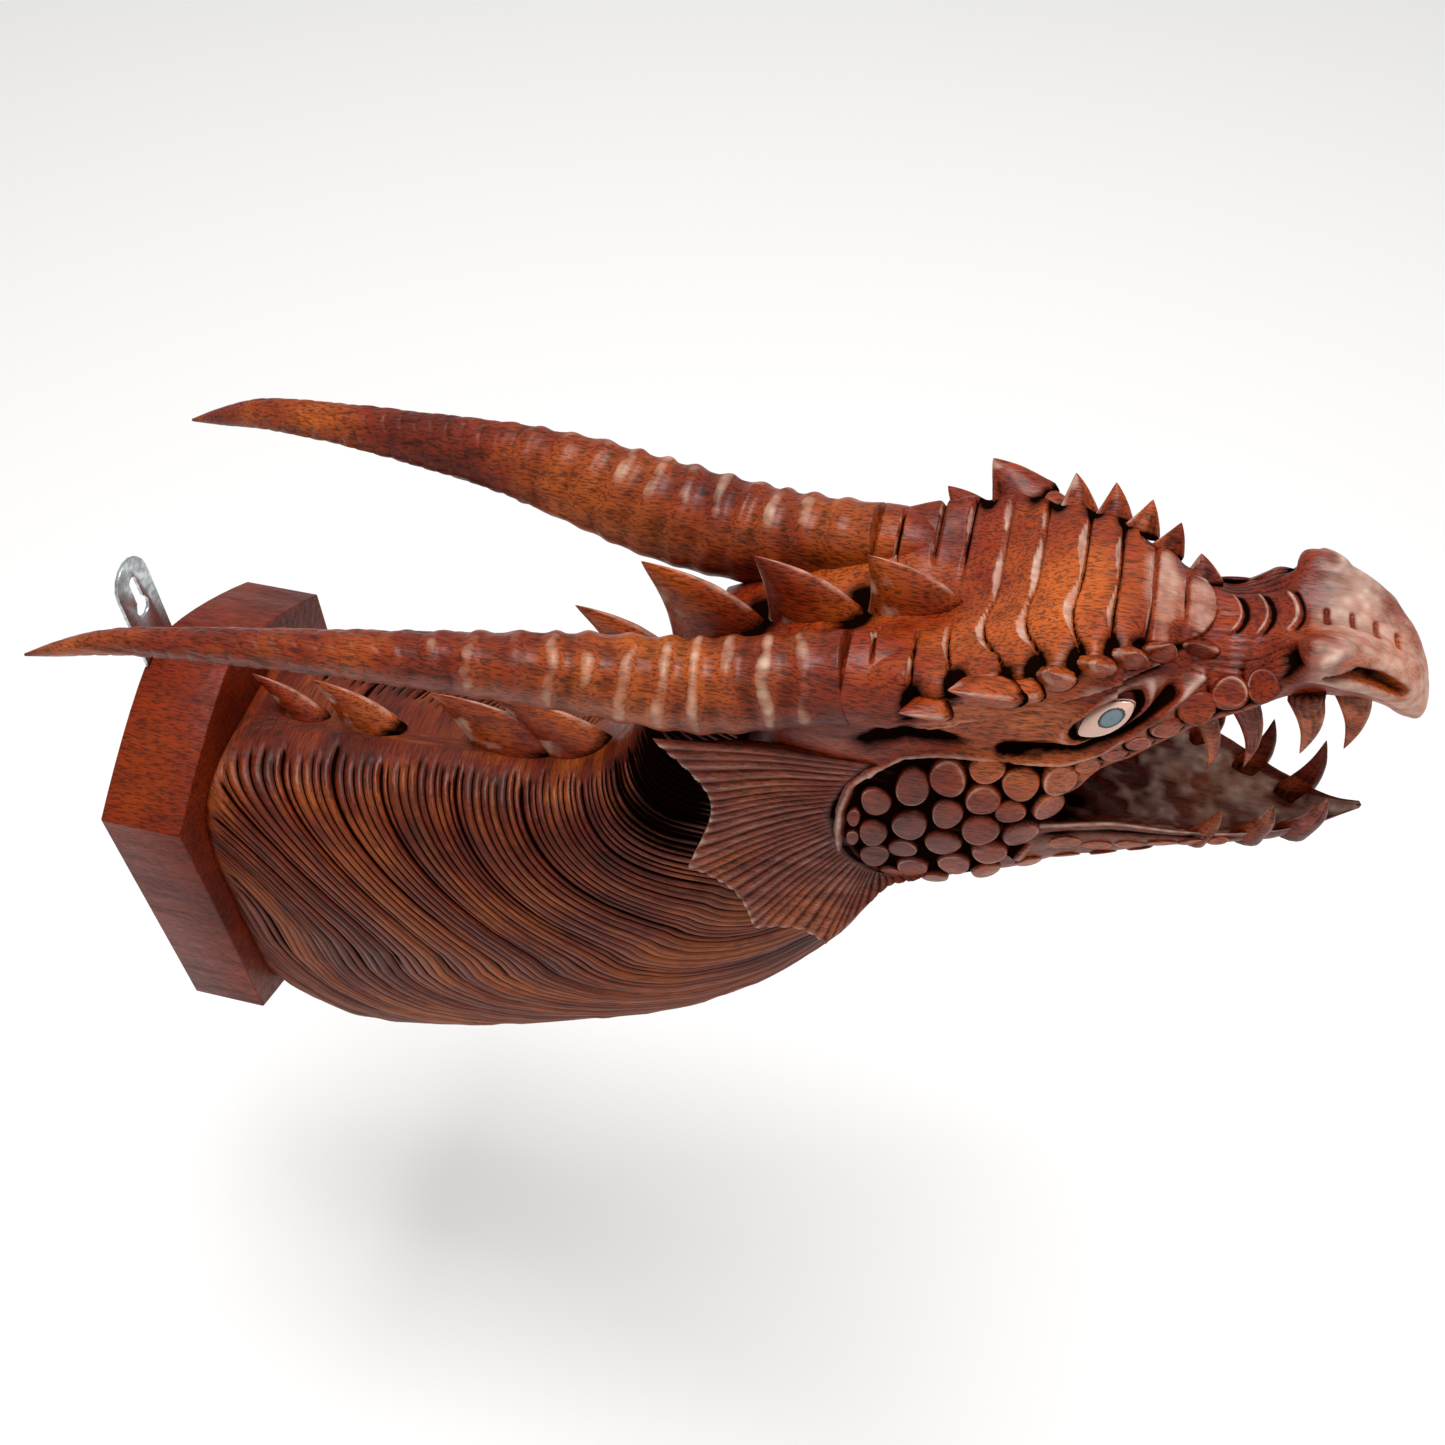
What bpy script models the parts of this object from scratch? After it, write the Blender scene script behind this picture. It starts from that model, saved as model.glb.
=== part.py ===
"""Dragon head wall carving in dark hardwood: a backing board with peaked ends, a neck of carved locks,
a plated head with an open beak, two long horns of their own wood, inlaid eyes and a steel
keyhole hanger. Metres, +Z up. The wall is the plane Y = 0 and the carving stands out along -Y.
"""
import math

import bmesh
import bpy
import numpy as np
from mathutils import Matrix, Vector

# Board
BOARD_WIDTH = 0.146
BOARD_HEIGHT = 0.211
BOARD_SIDE_HEIGHT = 0.150
BOARD_SIDE_DROP = 0.005
BOARD_THICKNESS = 0.037
BOARD_SHOULDER = 1.35

# Steel hanger let into the back of the board
HANGER_WIDTH = 0.023
HANGER_THICKNESS = 0.0016
HANGER_RISE = 0.0480
HANGER_LAP = 0.040
KEY_HOLE_DIAMETER = 0.0095
KEY_SLOT_WIDTH = 0.0052
KEY_SLOT_LENGTH = 0.0145
KEY_EDGE = 0.0085

# Screws of the hanger
SCREW_HEAD_DIAMETER = 0.0072
SCREW_HEAD_DEPTH = 0.0013
SCREW_SHANK_DIAMETER = 0.0034
SCREW_LENGTH = 0.016
SCREW_SPACING = 0.020

# Clearances
SEAT_GAP = 0.0003
SCREW_CLEARANCE = 0.0003

# Carving: its reach from the board's face to the beak, and how far its datum lies over the
# middle of the board. Its free form is written in thousandths of a metre at a reach of
# FORM_REACH, and follows CARVING_REACH.
CARVING_REACH = 0.4637
CARVING_DATUM = 0.0135
FORM_REACH = 463.7
FORM = CARVING_REACH / FORM_REACH

# Horns
HORN_TIP_TO_WALL = 0.0036
HORN_RING_SPACING = 0.0133
HORN_RING_HEIGHT = 0.0011

# Eyes
EYE_LENGTH = 0.0200
EYE_HEIGHT = 0.0095
EYE_DEPTH = 0.0060

# Eye centre in form units (u, w, z), and how its long axis and face are turned
EYE_PLACE = (358.0, 38.5, 199.5)
EYE_RISE = math.radians(46)
EYE_TILT = math.radians(22)

# Carved relief
LOCK_HEIGHT = 0.0022
PLATE_STEP = 0.0026
SCALE_HEIGHT = 0.0018
FIN_THICKNESS = 0.0040
FIN_RIB_HEIGHT = 0.0012

# Locks of the neck: how many start along the board, how far forward each sweeps as a share of
# the neck, and how late it turns
LOCK_COUNT = 16
LOCK_SWEEP = 0.95
LOCK_POWER = 2.0

# Mesh steps
NECK_STEPS = 9
HEAD_STEPS = 11
JAW_STEPS = 8
FIN_STEPS = 3
HORN_SIDES = 8
HORN_PLAIN_STEPS = 9
EYE_SIDES = 10


# Neck, in form units: (dorsal u, dorsal z, throat u, throat z, half width, squareness).
# u runs out from the board's face and z up from the datum.
NECK = np.array([
    (0, 61, 0, -110, 61, 4.6),
    (40, 61, 28, -146, 61, 3.4),
    (80, 63, 62, -150, 60, 3.0),
    (115, 65, 108, -136, 58, 2.8),
    (145, 70, 160, -110, 56, 2.7),
    (168, 83, 211, -83, 52, 2.6),
    (182, 104, 251, -47, 47, 2.5),
    (190, 130, 278, -6, 43, 2.5),
    (202, 156, 295, 36, 41, 2.5),
    (232, 172, 308, 68, 39, 2.5),
], float)

# Head, in form units: station u, then (w, z) from the crown round to the throat.
HEAD_STATIONS = [215, 238, 262, 284, 304, 320, 333, 345, 350, 357, 372, 389, 402, 414, 428, 445, 456]
HEAD_SECTIONS = np.array([
    [(0, 166), (18, 165), (30, 158), (38, 146), (42, 130), (43, 112), (42, 95), (30, 76), (0, 68)],
    [(0, 179), (20, 178), (34, 170), (42, 157), (45, 142), (46, 122), (45, 102), (34, 80), (0, 70)],
    [(0, 188), (22, 189), (38, 185), (47, 170), (46, 152), (47, 132), (46, 108), (36, 80), (0, 68)],
    [(0, 195), (23, 203), (42, 206), (49, 188), (46, 166), (47, 140), (47, 112), (38, 80), (0, 66)],
    [(0, 202), (25, 207), (46, 211), (47, 195), (43, 176), (46, 152), (46, 120), (37, 82), (0, 66)],
    [(0, 212), (24, 214), (44, 217), (45, 203), (42, 184), (45, 158), (45, 124), (36, 86), (0, 72)],
    [(0, 220), (22, 221), (41, 219), (43, 206), (41, 190), (43, 163), (44, 128), (35, 93), (0, 79)],
    [(0, 224), (20, 225), (37, 222), (41, 208), (40, 193), (42, 170), (41, 140), (33, 106), (0, 92)],
    [(0, 225), (19, 226), (35, 223), (40, 209), (40, 194), (41, 174), (39, 150), (32, 130), (0, 124)],
    [(0, 226), (17, 226), (32, 223), (38, 210), (39, 195), (39, 180), (38, 168), (33, 158), (0, 158)],
    [(0, 224), (13, 224), (24, 220), (31, 210), (35, 200), (36, 190), (34, 180), (28, 176), (0, 182)],
    [(0, 220), (9, 220), (19, 216), (26, 210), (30, 204), (31, 200), (29, 194), (22, 191), (0, 197)],
    [(0, 220), (8, 220), (17, 218), (25, 214), (28, 210), (28.5, 206), (26, 202), (18, 200), (0, 205)],
    [(0, 224), (9, 226), (19, 231.5), (26, 228), (26, 219), (24, 213), (22, 208), (15, 206), (0, 209)],
    [(0, 225), (10, 228), (19, 230), (24.5, 224), (23, 217), (20, 211), (18, 208), (12, 207), (0, 209)],
    [(0, 219), (8, 221), (15, 221), (19, 215), (18, 209), (15.5, 205), (13, 203), (8, 203), (0, 204)],
    [(0, 211), (5, 212), (10, 210), (13, 205), (12, 199), (10, 195), (8, 193), (4, 192), (0, 192)],
], float)
BEAK_TIP = (FORM_REACH, 189.5)

# Lower jaw, in form units: station u, then (w, z) from the mouth floor over the rim to below.
JAW_STATIONS = [318, 345, 357, 372, 397, 418, 440, 455]
JAW_SECTIONS = np.array([
    [(0, 118), (18, 119), (30, 122), (38, 120), (40, 108), (33, 84), (0, 76)],
    [(0, 113), (18, 115), (31, 128), (38, 134), (39, 119), (32, 100), (0, 90)],
    [(0, 113), (17, 115), (30, 129), (36, 135), (36, 122), (29, 106), (0, 97)],
    [(0, 114), (16, 116), (27, 128.5), (33, 134), (33, 124), (27, 111), (0, 103)],
    [(0, 115), (13, 116.5), (22, 125), (28, 130), (27.5, 125), (21, 117), (0, 109)],
    [(0, 115), (9, 116), (16, 121.5), (21, 126), (20.5, 123), (15, 118), (0, 111.5)],
    [(0, 118), (4.5, 118.8), (7.8, 121.5), (11, 124), (10.6, 122.5), (8, 119.5), (0, 115)],
    [(0, 128.6), (1.4, 128.8), (2.5, 129.6), (3.6, 130.2), (3.4, 129.3), (2.2, 128), (0, 126.2)],
], float)
JAW_AT = [318, 333, 345, 357, 372, 385, 397, 408, 418, 430, 440, 448, 455]
JAW_TIP = (461.3, 133.0)

# Head plates, in form units: u of the grooves between them at the midline, half the width of
# a groove's step, and the plain stations before, between and after them.
PLATE_GROOVES = [284, 296, 308, 320, 333, 346, 357, 368, 377]
GROOVE_HALF = 0.6
PLAIN_STATIONS = [215, 238, 262, 389, 396, 402, 408, 414, 421, 428, 437, 445, 456]

# Horn centreline, in form units: (u, w, z, half height, half thickness).
HORN = np.array([
    (285, 33.5, 196, 12.5, 16.5),
    (255, 35.5, 187, 15.5, 16.5),
    (221, 39.7, 179.1, 19, 17),
    (185, 43.6, 179.3, 19.5, 15),
    (150, 49.8, 181.5, 17.5, 12.4),
    (114, 55.2, 182.3, 14, 10),
    (78, 59, 180.8, 11, 8.1),
    (40, 62.9, 178.3, 8.5, 6.4),
    (0, 66.5, 172.6, 6, 4.6),
], float)
HORN_TIP_W = 69.5
HORN_TIP_Z = 160.2
HORN_LEAN = math.radians(52)
HORN_RINGED = 190
# How the horn's section goes on inside the head: (forward, down, size as a share).
HORN_ROOT = [(-2, 0, 1.0), (10, 1, 0.95), (20, 8, 0.72)]

# Spikes, in form units: (base u, w, z), (tip u, w, z), base length, base width.
BACK_SPIKES = [
    ((288, 0, 192), (270.5, 0, 217), 40, 15),
    ((253, 0, 178), (230.7, 0, 207.3), 42, 15),
    ((217, 0, 162), (188.5, 0, 194.8), 44, 15),
    ((190, 0, 136), (161, 0, 164.7), 32, 14),
    ((155, 0, 72), (121, 0, 97), 42, 13),
    ((127, 0, 60), (90.7, 0, 92.6), 50, 13),
    ((58, 0, 58), (35.6, 0, 86), 36, 13),
    ((26, 0, 56), (6, 0, 82), 26, 12),
]
BROW_SPIKES = [
    ((302, 47, 200), (291.5, 56, 204), 17, 9),
    ((319.5, 45, 211), (306, 56.6, 220), 27, 11),
    ((330, 43, 212), (322, 52, 216.5), 15, 9),
    ((338.5, 39.5, 216), (335.4, 47.6, 227), 15, 9),
    ((350.5, 35, 220), (349.3, 43, 229.5), 14, 8),
    ((360.5, 30, 221), (362, 36, 230.5), 13, 8),
    ((370, 24, 219.5), (372.3, 28.5, 229), 12, 7),
    ((382.5, 15.5, 215.5), (380.5, 21, 223.5), 15, 8),
]

# Teeth, in form units: root (u, w, z), tip (u, w, z), root length, root width.
TEETH = [
    ((435, 15, 206), (440, 16, 180), 12, 7),
    ((420, 21, 206), (426, 20, 178), 12, 7),
    ((402, 24, 201), (410, 22, 168), 10, 6),
    ((391, 26, 194), (398, 25, 165), 8, 6),
    ((440, 9.5, 123.5), (444, 13.7, 149.5), 13, 6),
    ((423, 17, 125), (425.5, 20.3, 148.6), 12, 6),
    ((404, 24, 127), (408, 25, 147), 10, 6),
]

# Round scales, in form units. Cheek rows: (share round the section, first u, last u, number).
# Lip scales: (u, share, radius).
CHEEK_ROWS = [(0.600, 300, 348, 5), (0.662, 288, 348, 5), (0.724, 282, 345, 6), (0.786, 284, 340, 5)]
CHEEK_RADIUS = 5.2
LIP_SCALES = [(376, 0.66, 4.2), (388, 0.65, 5.4), (399, 0.60, 5.6)]

# Cheek fin, in form units: (u, w, z) along its root on the cheek, and along its rim.
FIN_ROOT = np.array([
    (284, 43, 162), (276, 43, 148), (272, 43, 134), (273, 43, 121), (278, 42, 108),
    (285, 41, 99), (291, 40, 94), (297, 39, 92),
], float)
FIN_TIPS = np.array([(208, 58, 166.5), (219.5, 58, 90), (246, 57, 53.5), (275.5, 54, 47), (310, 44, 95)], float)
FIN_TIP_RIBS = [0, 6, 10, 13, 17]
FIN_SCALLOPS = [15, 7, 6, 8]
FIN_RIBS = 17


def spline(knots, rows, at):
    """Smooth cubic through rows at the knots, with each slope taken from its two neighbours."""
    knots = np.asarray(knots, float)
    rows = np.asarray(rows, float)
    at = np.atleast_1d(np.asarray(at, float))
    slopes = np.gradient(rows, knots, axis=0)
    k = np.clip(np.searchsorted(knots, at, side="right") - 1, 0, len(knots) - 2)
    width = (knots[k + 1] - knots[k]).reshape((-1,) + (1,) * (rows.ndim - 1))
    t = (at - knots[k]).reshape(width.shape) / width
    a = 2 * t**3 - 3 * t**2 + 1
    b = t**3 - 2 * t**2 + t
    c = 3 * t**2 - 2 * t**3
    d = t**3 - t**2
    return a * rows[k] + b * width * slopes[k] + c * rows[k + 1] + d * width * slopes[k + 1]


def round_section(points, count):
    """Half sections resampled to count points each, square to the midplane at both ends."""
    mirror = np.array([-1.0, 1.0])
    closed = np.concatenate([points[:, 1:2] * mirror, points, points[:, -2:-1] * mirror], axis=1)
    knots = np.arange(-1, points.shape[1] + 1)
    at = np.linspace(0, points.shape[1] - 1, count)
    return np.moveaxis(spline(knots, np.moveaxis(closed, 1, 0), at), 0, 1)


def place(form_points):
    """Form units (u, w, z) to metres in the part's frame, where the dragon's right is -X."""
    points = np.asarray(form_points, float) * FORM
    x = -points[..., 1]
    y = -(points[..., 0] + BOARD_THICKNESS + SEAT_GAP)
    z = points[..., 2] + CARVING_DATUM
    return np.stack([x, y, z], axis=-1)


def material(name, colour, roughness, metallic=0.0):
    made = bpy.data.materials.new(name)
    made.use_nodes = True
    shader = made.node_tree.nodes["Principled BSDF"]
    shader.inputs["Base Color"].default_value = (*colour, 1)
    shader.inputs["Roughness"].default_value = roughness
    shader.inputs["Metallic"].default_value = metallic
    return made


def mesh_object(name, vertices, faces, collection):
    """A closed mesh object: doubles merged, faces turned outward."""
    shape = bmesh.new()
    made = [shape.verts.new(v) for v in np.asarray(vertices).reshape(-1, 3)]
    for face in faces:
        corners = [made[i] for i in dict.fromkeys(face)]
        if len(corners) > 2:
            shape.faces.new(corners)
    bmesh.ops.remove_doubles(shape, verts=shape.verts, dist=2e-6)
    bmesh.ops.dissolve_degenerate(shape, edges=shape.edges, dist=1e-6)
    bmesh.ops.recalc_face_normals(shape, faces=shape.faces)
    mesh = bpy.data.meshes.new(name)
    shape.to_mesh(mesh)
    shape.free()
    made_object = bpy.data.objects.new(name, mesh)
    collection.objects.link(made_object)
    return made_object


def grid_faces(rows, columns, wrap=False, start=0):
    """Quads of a grid of rows by columns; wrap joins the last column to the first."""
    faces = []
    last = columns if wrap else columns - 1
    for r in range(rows - 1):
        for c in range(last):
            a = start + r * columns + c
            b = start + r * columns + (c + 1) % columns
            faces.append((a, b, b + columns, a + columns))
    return faces


def loft(name, rings, tip, collection):
    """Rings of equal count joined in order, a flat cap on the first, a point at the end."""
    count = rings.shape[1]
    vertices = list(rings.reshape(-1, 3)) + [tip]
    faces = grid_faces(len(rings), count, wrap=True)
    faces.append(tuple(range(count)))
    last = (len(rings) - 1) * count
    faces += [(last + c, last + (c + 1) % count, len(vertices) - 1) for c in range(count)]
    return mesh_object(name, vertices, faces, collection)


def full_ring(half):
    """Half sections mirrored across the midplane into closed rings."""
    other = half[:, -2:0:-1] * np.array([1.0, -1.0, 1.0])
    return np.concatenate([half, other], axis=1)


def stations_to_rings(stations, sections, at, count):
    half = round_section(spline(stations, sections, at), count)
    u = np.broadcast_to(np.asarray(at, float)[:, None, None], half.shape[:2] + (1,))
    return np.concatenate([u, half], axis=2)


def neck_point(s, angle):
    """Neck surface at s (0 board, 1 head) and angle (0 dorsal line, pi throat line)."""
    row = spline(np.linspace(0, 1, len(NECK)), NECK, np.ravel(s))
    angle = np.ravel(angle)
    power = 2 / row[:, 5]
    along = np.sign(np.cos(angle)) * np.abs(np.cos(angle)) ** power
    across = np.abs(np.sin(angle)) ** power
    middle = (row[:, 0:2] + row[:, 2:4]) / 2
    reach = (row[:, 0:2] - row[:, 2:4]) / 2
    side = middle + reach * along[:, None]
    return np.stack([side[:, 0], row[:, 4] * across, side[:, 1]], axis=1)


def build_neck(collection):
    """The neck as locks of hair: each lock starts at the dorsal line or the board and sweeps
    forward as it goes round, s = start + sweep x (angle share) ^ power."""
    starts = np.linspace(-LOCK_SWEEP, 0, LOCK_COUNT + 1)
    starts = np.concatenate([starts, starts + 1])
    first = math.pi * (np.clip(-starts, 0, None) / LOCK_SWEEP) ** (1 / LOCK_POWER)
    last = math.pi * (np.clip(1 - starts, 0, LOCK_SWEEP) / LOCK_SWEEP) ** (1 / LOCK_POWER)
    t = np.linspace(0, 1, NECK_STEPS)
    angle = first[:, None] + (last - first)[:, None] * t[None, :]
    s = np.clip(starts[:, None] + LOCK_SWEEP * (angle / math.pi) ** LOCK_POWER, 0, 1)
    base = neck_point(s, angle).reshape(len(starts), NECK_STEPS, 3)
    middle = neck_point(s, np.full_like(s, math.pi / 2)).reshape(base.shape) * np.array([1, 0, 1])
    away = base - middle
    away /= np.linalg.norm(away, axis=2, keepdims=True)
    rise = np.where(np.arange(len(starts)) % 2 == 0, 0.5, -0.5) * LOCK_HEIGHT / FORM
    fade = np.clip(angle / 0.25, 0, 1) * np.clip((math.pi - angle) / 0.25, 0, 1)
    fade = fade * np.clip(s / 0.05, 0, 1) * np.clip((1 - s) / 0.05, 0, 1)
    right = base + away * (rise[:, None] * fade)[..., None]
    left = right * np.array([1, -1, 1])
    count = len(starts) * NECK_STEPS
    faces = grid_faces(len(starts), NECK_STEPS)
    faces += [tuple(i + count for i in face[::-1]) for face in grid_faces(len(starts), NECK_STEPS)]
    vertices = np.concatenate([right.reshape(-1, 3), left.reshape(-1, 3)])
    foot = [k * NECK_STEPS for k in range(len(starts)) if starts[k] <= 1e-9]
    top = [k * NECK_STEPS + NECK_STEPS - 1 for k in range(len(starts)) if starts[k] + LOCK_SWEEP >= 1 - 1e-9]
    for rim in (foot, top):
        centre = len(vertices)
        ends = vertices[rim] * np.array([1, 0, 1])
        vertices = np.concatenate([vertices, ends[[0, -1]].mean(axis=0, keepdims=True)])
        for a, b in zip(rim, rim[1:]):
            faces.append((a, b, centre))
            faces.append((b + count, a + count, centre))
    return mesh_object("neck_form", place(vertices), faces, collection)


def build_head(collection):
    """The head's rings, with a step down across the crown at each groove, so that each plate
    slopes up from one groove to the next like a shingle."""
    before = [u - GROOVE_HALF for u in PLATE_GROOVES]
    after = [u + GROOVE_HALF for u in PLATE_GROOVES]
    at = sorted(before + after + PLAIN_STATIONS)
    half = stations_to_rings(HEAD_STATIONS, HEAD_SECTIONS, at, HEAD_STEPS)
    crown = np.clip(1.3 - np.arange(HEAD_STEPS) / 3.0, 0, 1)
    sunk = np.isin(at, before)[:, None] * crown[None, :]
    half[..., 2] -= PLATE_STEP / FORM * sunk
    rings = full_ring(half)
    return loft("head_form", place(rings), place((BEAK_TIP[0], 0, BEAK_TIP[1])), collection)


def build_jaw(collection):
    rings = full_ring(stations_to_rings(JAW_STATIONS, JAW_SECTIONS, JAW_AT, JAW_STEPS))
    return loft("jaw_form", place(rings), place((JAW_TIP[0], 0, JAW_TIP[1])), collection)


def spike(name, root, tip, length, width, collection, sides=5, bend=0.18):
    """A curved, flattened cone: an oval root that shrinks along an arc to its tip."""
    root = np.asarray(root, float)
    tip = np.asarray(tip, float)
    axis = tip - root
    size = np.linalg.norm(axis)
    out = np.array([1.0, 0.0, 0.0]) if abs(axis[0]) < 0.9 * size else np.array([0.0, 0.0, 1.0])
    along = out - axis * (out @ axis) / size**2
    along /= np.linalg.norm(along)
    across = np.cross(axis / size, along)
    angle = (np.arange(sides) + 0.25) * 2 * math.pi / sides
    rings = []
    for t in (-0.12, 0.45):
        centre = root + axis * t + along * bend * size * math.sin(math.pi * max(t, 0))
        shrink = (1 - max(t, 0)) ** 0.65
        ring = centre + np.outer(np.cos(angle), along) * length / 2 * shrink
        rings.append(ring + np.outer(np.sin(angle), across) * width / 2 * shrink)
    return loft(name, place(np.array(rings)), place(tip), collection)


def build_spikes(collection):
    made = []
    for k, (root, tip, length, width) in enumerate(BACK_SPIKES):
        made.append(spike(f"back_spike_{k}", root, tip, length, width, collection))
    for side in (1, -1):
        flip = np.array([1, side, 1])
        for k, (root, tip, length, width) in enumerate(BROW_SPIKES):
            made.append(spike(f"brow_spike_{k}_{side}", root * flip, tip * flip, length, width, collection))
        for k, (root, tip, length, width) in enumerate(TEETH):
            made.append(spike(f"tooth_{k}_{side}", root * flip, tip * flip, length, width, collection, 5, 0.08))
    return made


def head_surface(u, t):
    """Point and outward direction on the head's right side at station u, share t round it."""
    def point(u_at, t_at):
        section = round_section(spline(HEAD_STATIONS, HEAD_SECTIONS, [u_at]), 161)[0]
        w = np.interp(t_at * 160, np.arange(161), section[:, 0])
        z = np.interp(t_at * 160, np.arange(161), section[:, 1])
        return np.array([u_at, w, z])
    here = point(u, t)
    outward = np.cross(point(u + 1, t) - here, point(u, t + 0.01) - here)
    outward /= np.linalg.norm(outward)
    if outward[1] < 0:
        outward = -outward
    return here, outward


def scale_disc(name, where, outward, radius, collection):
    """A round raised scale: a low cone frustum square to the surface."""
    height = SCALE_HEIGHT * 2
    shape = bmesh.new()
    bmesh.ops.create_cone(
        shape, cap_ends=True, segments=6, radius1=radius * FORM, radius2=radius * FORM * 0.8, depth=height
    )
    centre, ahead = place(np.array([where, where + outward]))
    turn = Vector(ahead - centre).to_track_quat("Z", "Y").to_matrix().to_4x4()
    bmesh.ops.transform(shape, matrix=Matrix.Translation(centre) @ turn, verts=shape.verts)
    mesh = bpy.data.meshes.new(name)
    shape.to_mesh(mesh)
    shape.free()
    made = bpy.data.objects.new(name, mesh)
    collection.objects.link(made)
    return made


def build_scales(collection):
    spots = []
    for t, first, last, count in CHEEK_ROWS:
        spots += [(u, t, CHEEK_RADIUS) for u in np.linspace(first, last, count)]
    spots += LIP_SCALES
    made = []
    for k, (u, t, radius) in enumerate(spots):
        where, outward = head_surface(u, t)
        for side in (1, -1):
            flip = np.array([1, side, 1])
            made.append(scale_disc(f"scale_{k}_{side}", where * flip, outward * flip, radius, collection))
    return made


def build_fin(side, collection):
    """A ribbed fin: straight ribs from the cheek to a rim that dips between its tips."""
    ribs = np.arange(FIN_RIBS + 1)
    rim = spline(FIN_TIP_RIBS, FIN_TIPS, ribs)
    root = spline(np.linspace(0, FIN_RIBS, len(FIN_ROOT)), FIN_ROOT, ribs)
    for a, b, dip in zip(FIN_TIP_RIBS, FIN_TIP_RIBS[1:], FIN_SCALLOPS):
        inside = (ribs >= a) & (ribs <= b)
        share = (ribs[inside] - a) / (b - a)
        straight = FIN_TIPS[FIN_TIP_RIBS.index(a)] * (1 - share)[:, None]
        straight = straight + FIN_TIPS[FIN_TIP_RIBS.index(b)] * share[:, None]
        inward = root[inside] - straight
        inward /= np.linalg.norm(inward, axis=1, keepdims=True)
        rim[inside] = straight + inward * (dip * np.sin(math.pi * share))[:, None]
    steps = np.linspace(0, 1, FIN_STEPS + 1)
    sheet = root[:, None] * (1 - steps)[None, :, None] + rim[:, None] * steps[None, :, None]
    sheet[..., 1] += np.where(ribs % 2 == 0, 0.5, -0.5)[:, None] * FIN_RIB_HEIGHT / FORM * steps
    back = sheet - np.array([0, FIN_THICKNESS / FORM, 0])
    both = np.stack([sheet, back]) * np.array([1, side, 1])
    rows = FIN_RIBS + 1
    columns = len(steps)
    count = rows * columns
    faces = grid_faces(rows, columns) + [tuple(i + count for i in f) for f in grid_faces(rows, columns)]
    edge = [c for c in range(columns)]
    edge += [r * columns + columns - 1 for r in range(1, rows)]
    edge += [(rows - 1) * columns + c for c in range(columns - 2, -1, -1)]
    edge += [r * columns for r in range(rows - 2, 0, -1)]
    for a, b in zip(edge, edge[1:] + edge[:1]):
        faces.append((a, b, b + count, a + count))
    return mesh_object(f"fin_form_{side}", place(both).reshape(-1, 3), faces, collection)


def horn_path():
    """Horn centreline with its tip a set clearance from the wall."""
    tip_u = (HORN_TIP_TO_WALL - BOARD_THICKNESS - SEAT_GAP) / FORM
    near_tip = (tip_u * 0.5, 68, HORN_TIP_Z + 6.5, 3.8, 3.1)
    return np.vstack([HORN, near_tip, (tip_u, HORN_TIP_W, HORN_TIP_Z, 0.7, 0.7)])


def horn_rings(grow):
    """Rings along the horn, on each crest and hollow of its ringed part, and their directions."""
    path = horn_path()
    length = np.concatenate([[0], np.cumsum(np.linalg.norm(np.diff(path[:, :3], axis=0), axis=1))])
    half_ring = HORN_RING_SPACING / FORM / 2
    at = np.arange(0, HORN_RINGED, half_ring)
    at = np.concatenate([at, np.linspace(at[-1], length[-1], HORN_PLAIN_STEPS)[1:]])
    row = spline(length, path, at)
    ahead = spline(length, path, np.clip(at + 1, 0, length[-1])) - spline(length, path, np.clip(at - 1, 0, None))
    ahead = ahead[:, :3] / np.linalg.norm(ahead[:, :3], axis=1, keepdims=True)
    high = np.array([0, math.cos(HORN_LEAN), math.sin(HORN_LEAN)])
    high = high - ahead * (ahead @ high)[:, None]
    high /= np.linalg.norm(high, axis=1, keepdims=True)
    wide = np.cross(ahead, high)
    ring = 0.5 + 0.5 * np.cos(2 * math.pi * at * FORM / HORN_RING_SPACING)
    ring = ring * np.clip(at / 25, 0, 1) * np.clip((HORN_RINGED - at) / 60, 0, 1) * HORN_RING_HEIGHT / FORM
    angle = np.linspace(0, 2 * math.pi, HORN_SIDES, endpoint=False)
    tall = (row[:, 3] + ring + grow)[:, None, None] * np.cos(angle)[None, :, None] * high[:, None]
    thick = (row[:, 4] + ring + grow)[:, None, None] * np.sin(angle)[None, :, None] * wide[:, None]
    return row[:, None, :3] + tall + thick, ahead


def build_horn(side, name, grow, collection):
    rings, ahead = horn_rings(grow)
    rings[0] -= ahead[0] * grow
    rings = rings * np.array([1, side, 1])
    tip = rings[-1].mean(axis=0)
    return loft(name, place(rings[:-1]), place(tip), collection)


def build_horn_root(side, collection):
    """The horn's section carried on from its butt joint into the head, shrinking as it sinks."""
    rings, ahead = horn_rings(0)
    centre = rings[0].mean(axis=0)
    made = []
    for forward, down, share in HORN_ROOT:
        made.append((rings[0] - centre) * share + centre - ahead[0] * forward - np.array([0, 0, down]))
    made = np.array(made) * np.array([1, side, 1])
    return loft(f"horn_root_{side}", place(made), place(made[-1].mean(axis=0)), collection)


def board_outline(steps=14):
    """Straight sides, a little lower than the board's middle, between shoulders that run nearly
    straight from a soft peak: their fall goes as the share of the half width to the power
    BOARD_SHOULDER."""
    half = BOARD_WIDTH / 2
    side_top = BOARD_SIDE_HEIGHT / 2 - BOARD_SIDE_DROP
    side_low = -BOARD_SIDE_HEIGHT / 2 - BOARD_SIDE_DROP
    across = np.linspace(-1, 1, steps + 1)
    fall = np.abs(across) ** BOARD_SHOULDER
    upper = BOARD_HEIGHT / 2 + (side_top - BOARD_HEIGHT / 2) * fall
    lower = -BOARD_HEIGHT / 2 + (side_low + BOARD_HEIGHT / 2) * fall
    return list(zip(half * across, upper)) + list(zip(-half * across, lower))


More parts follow.
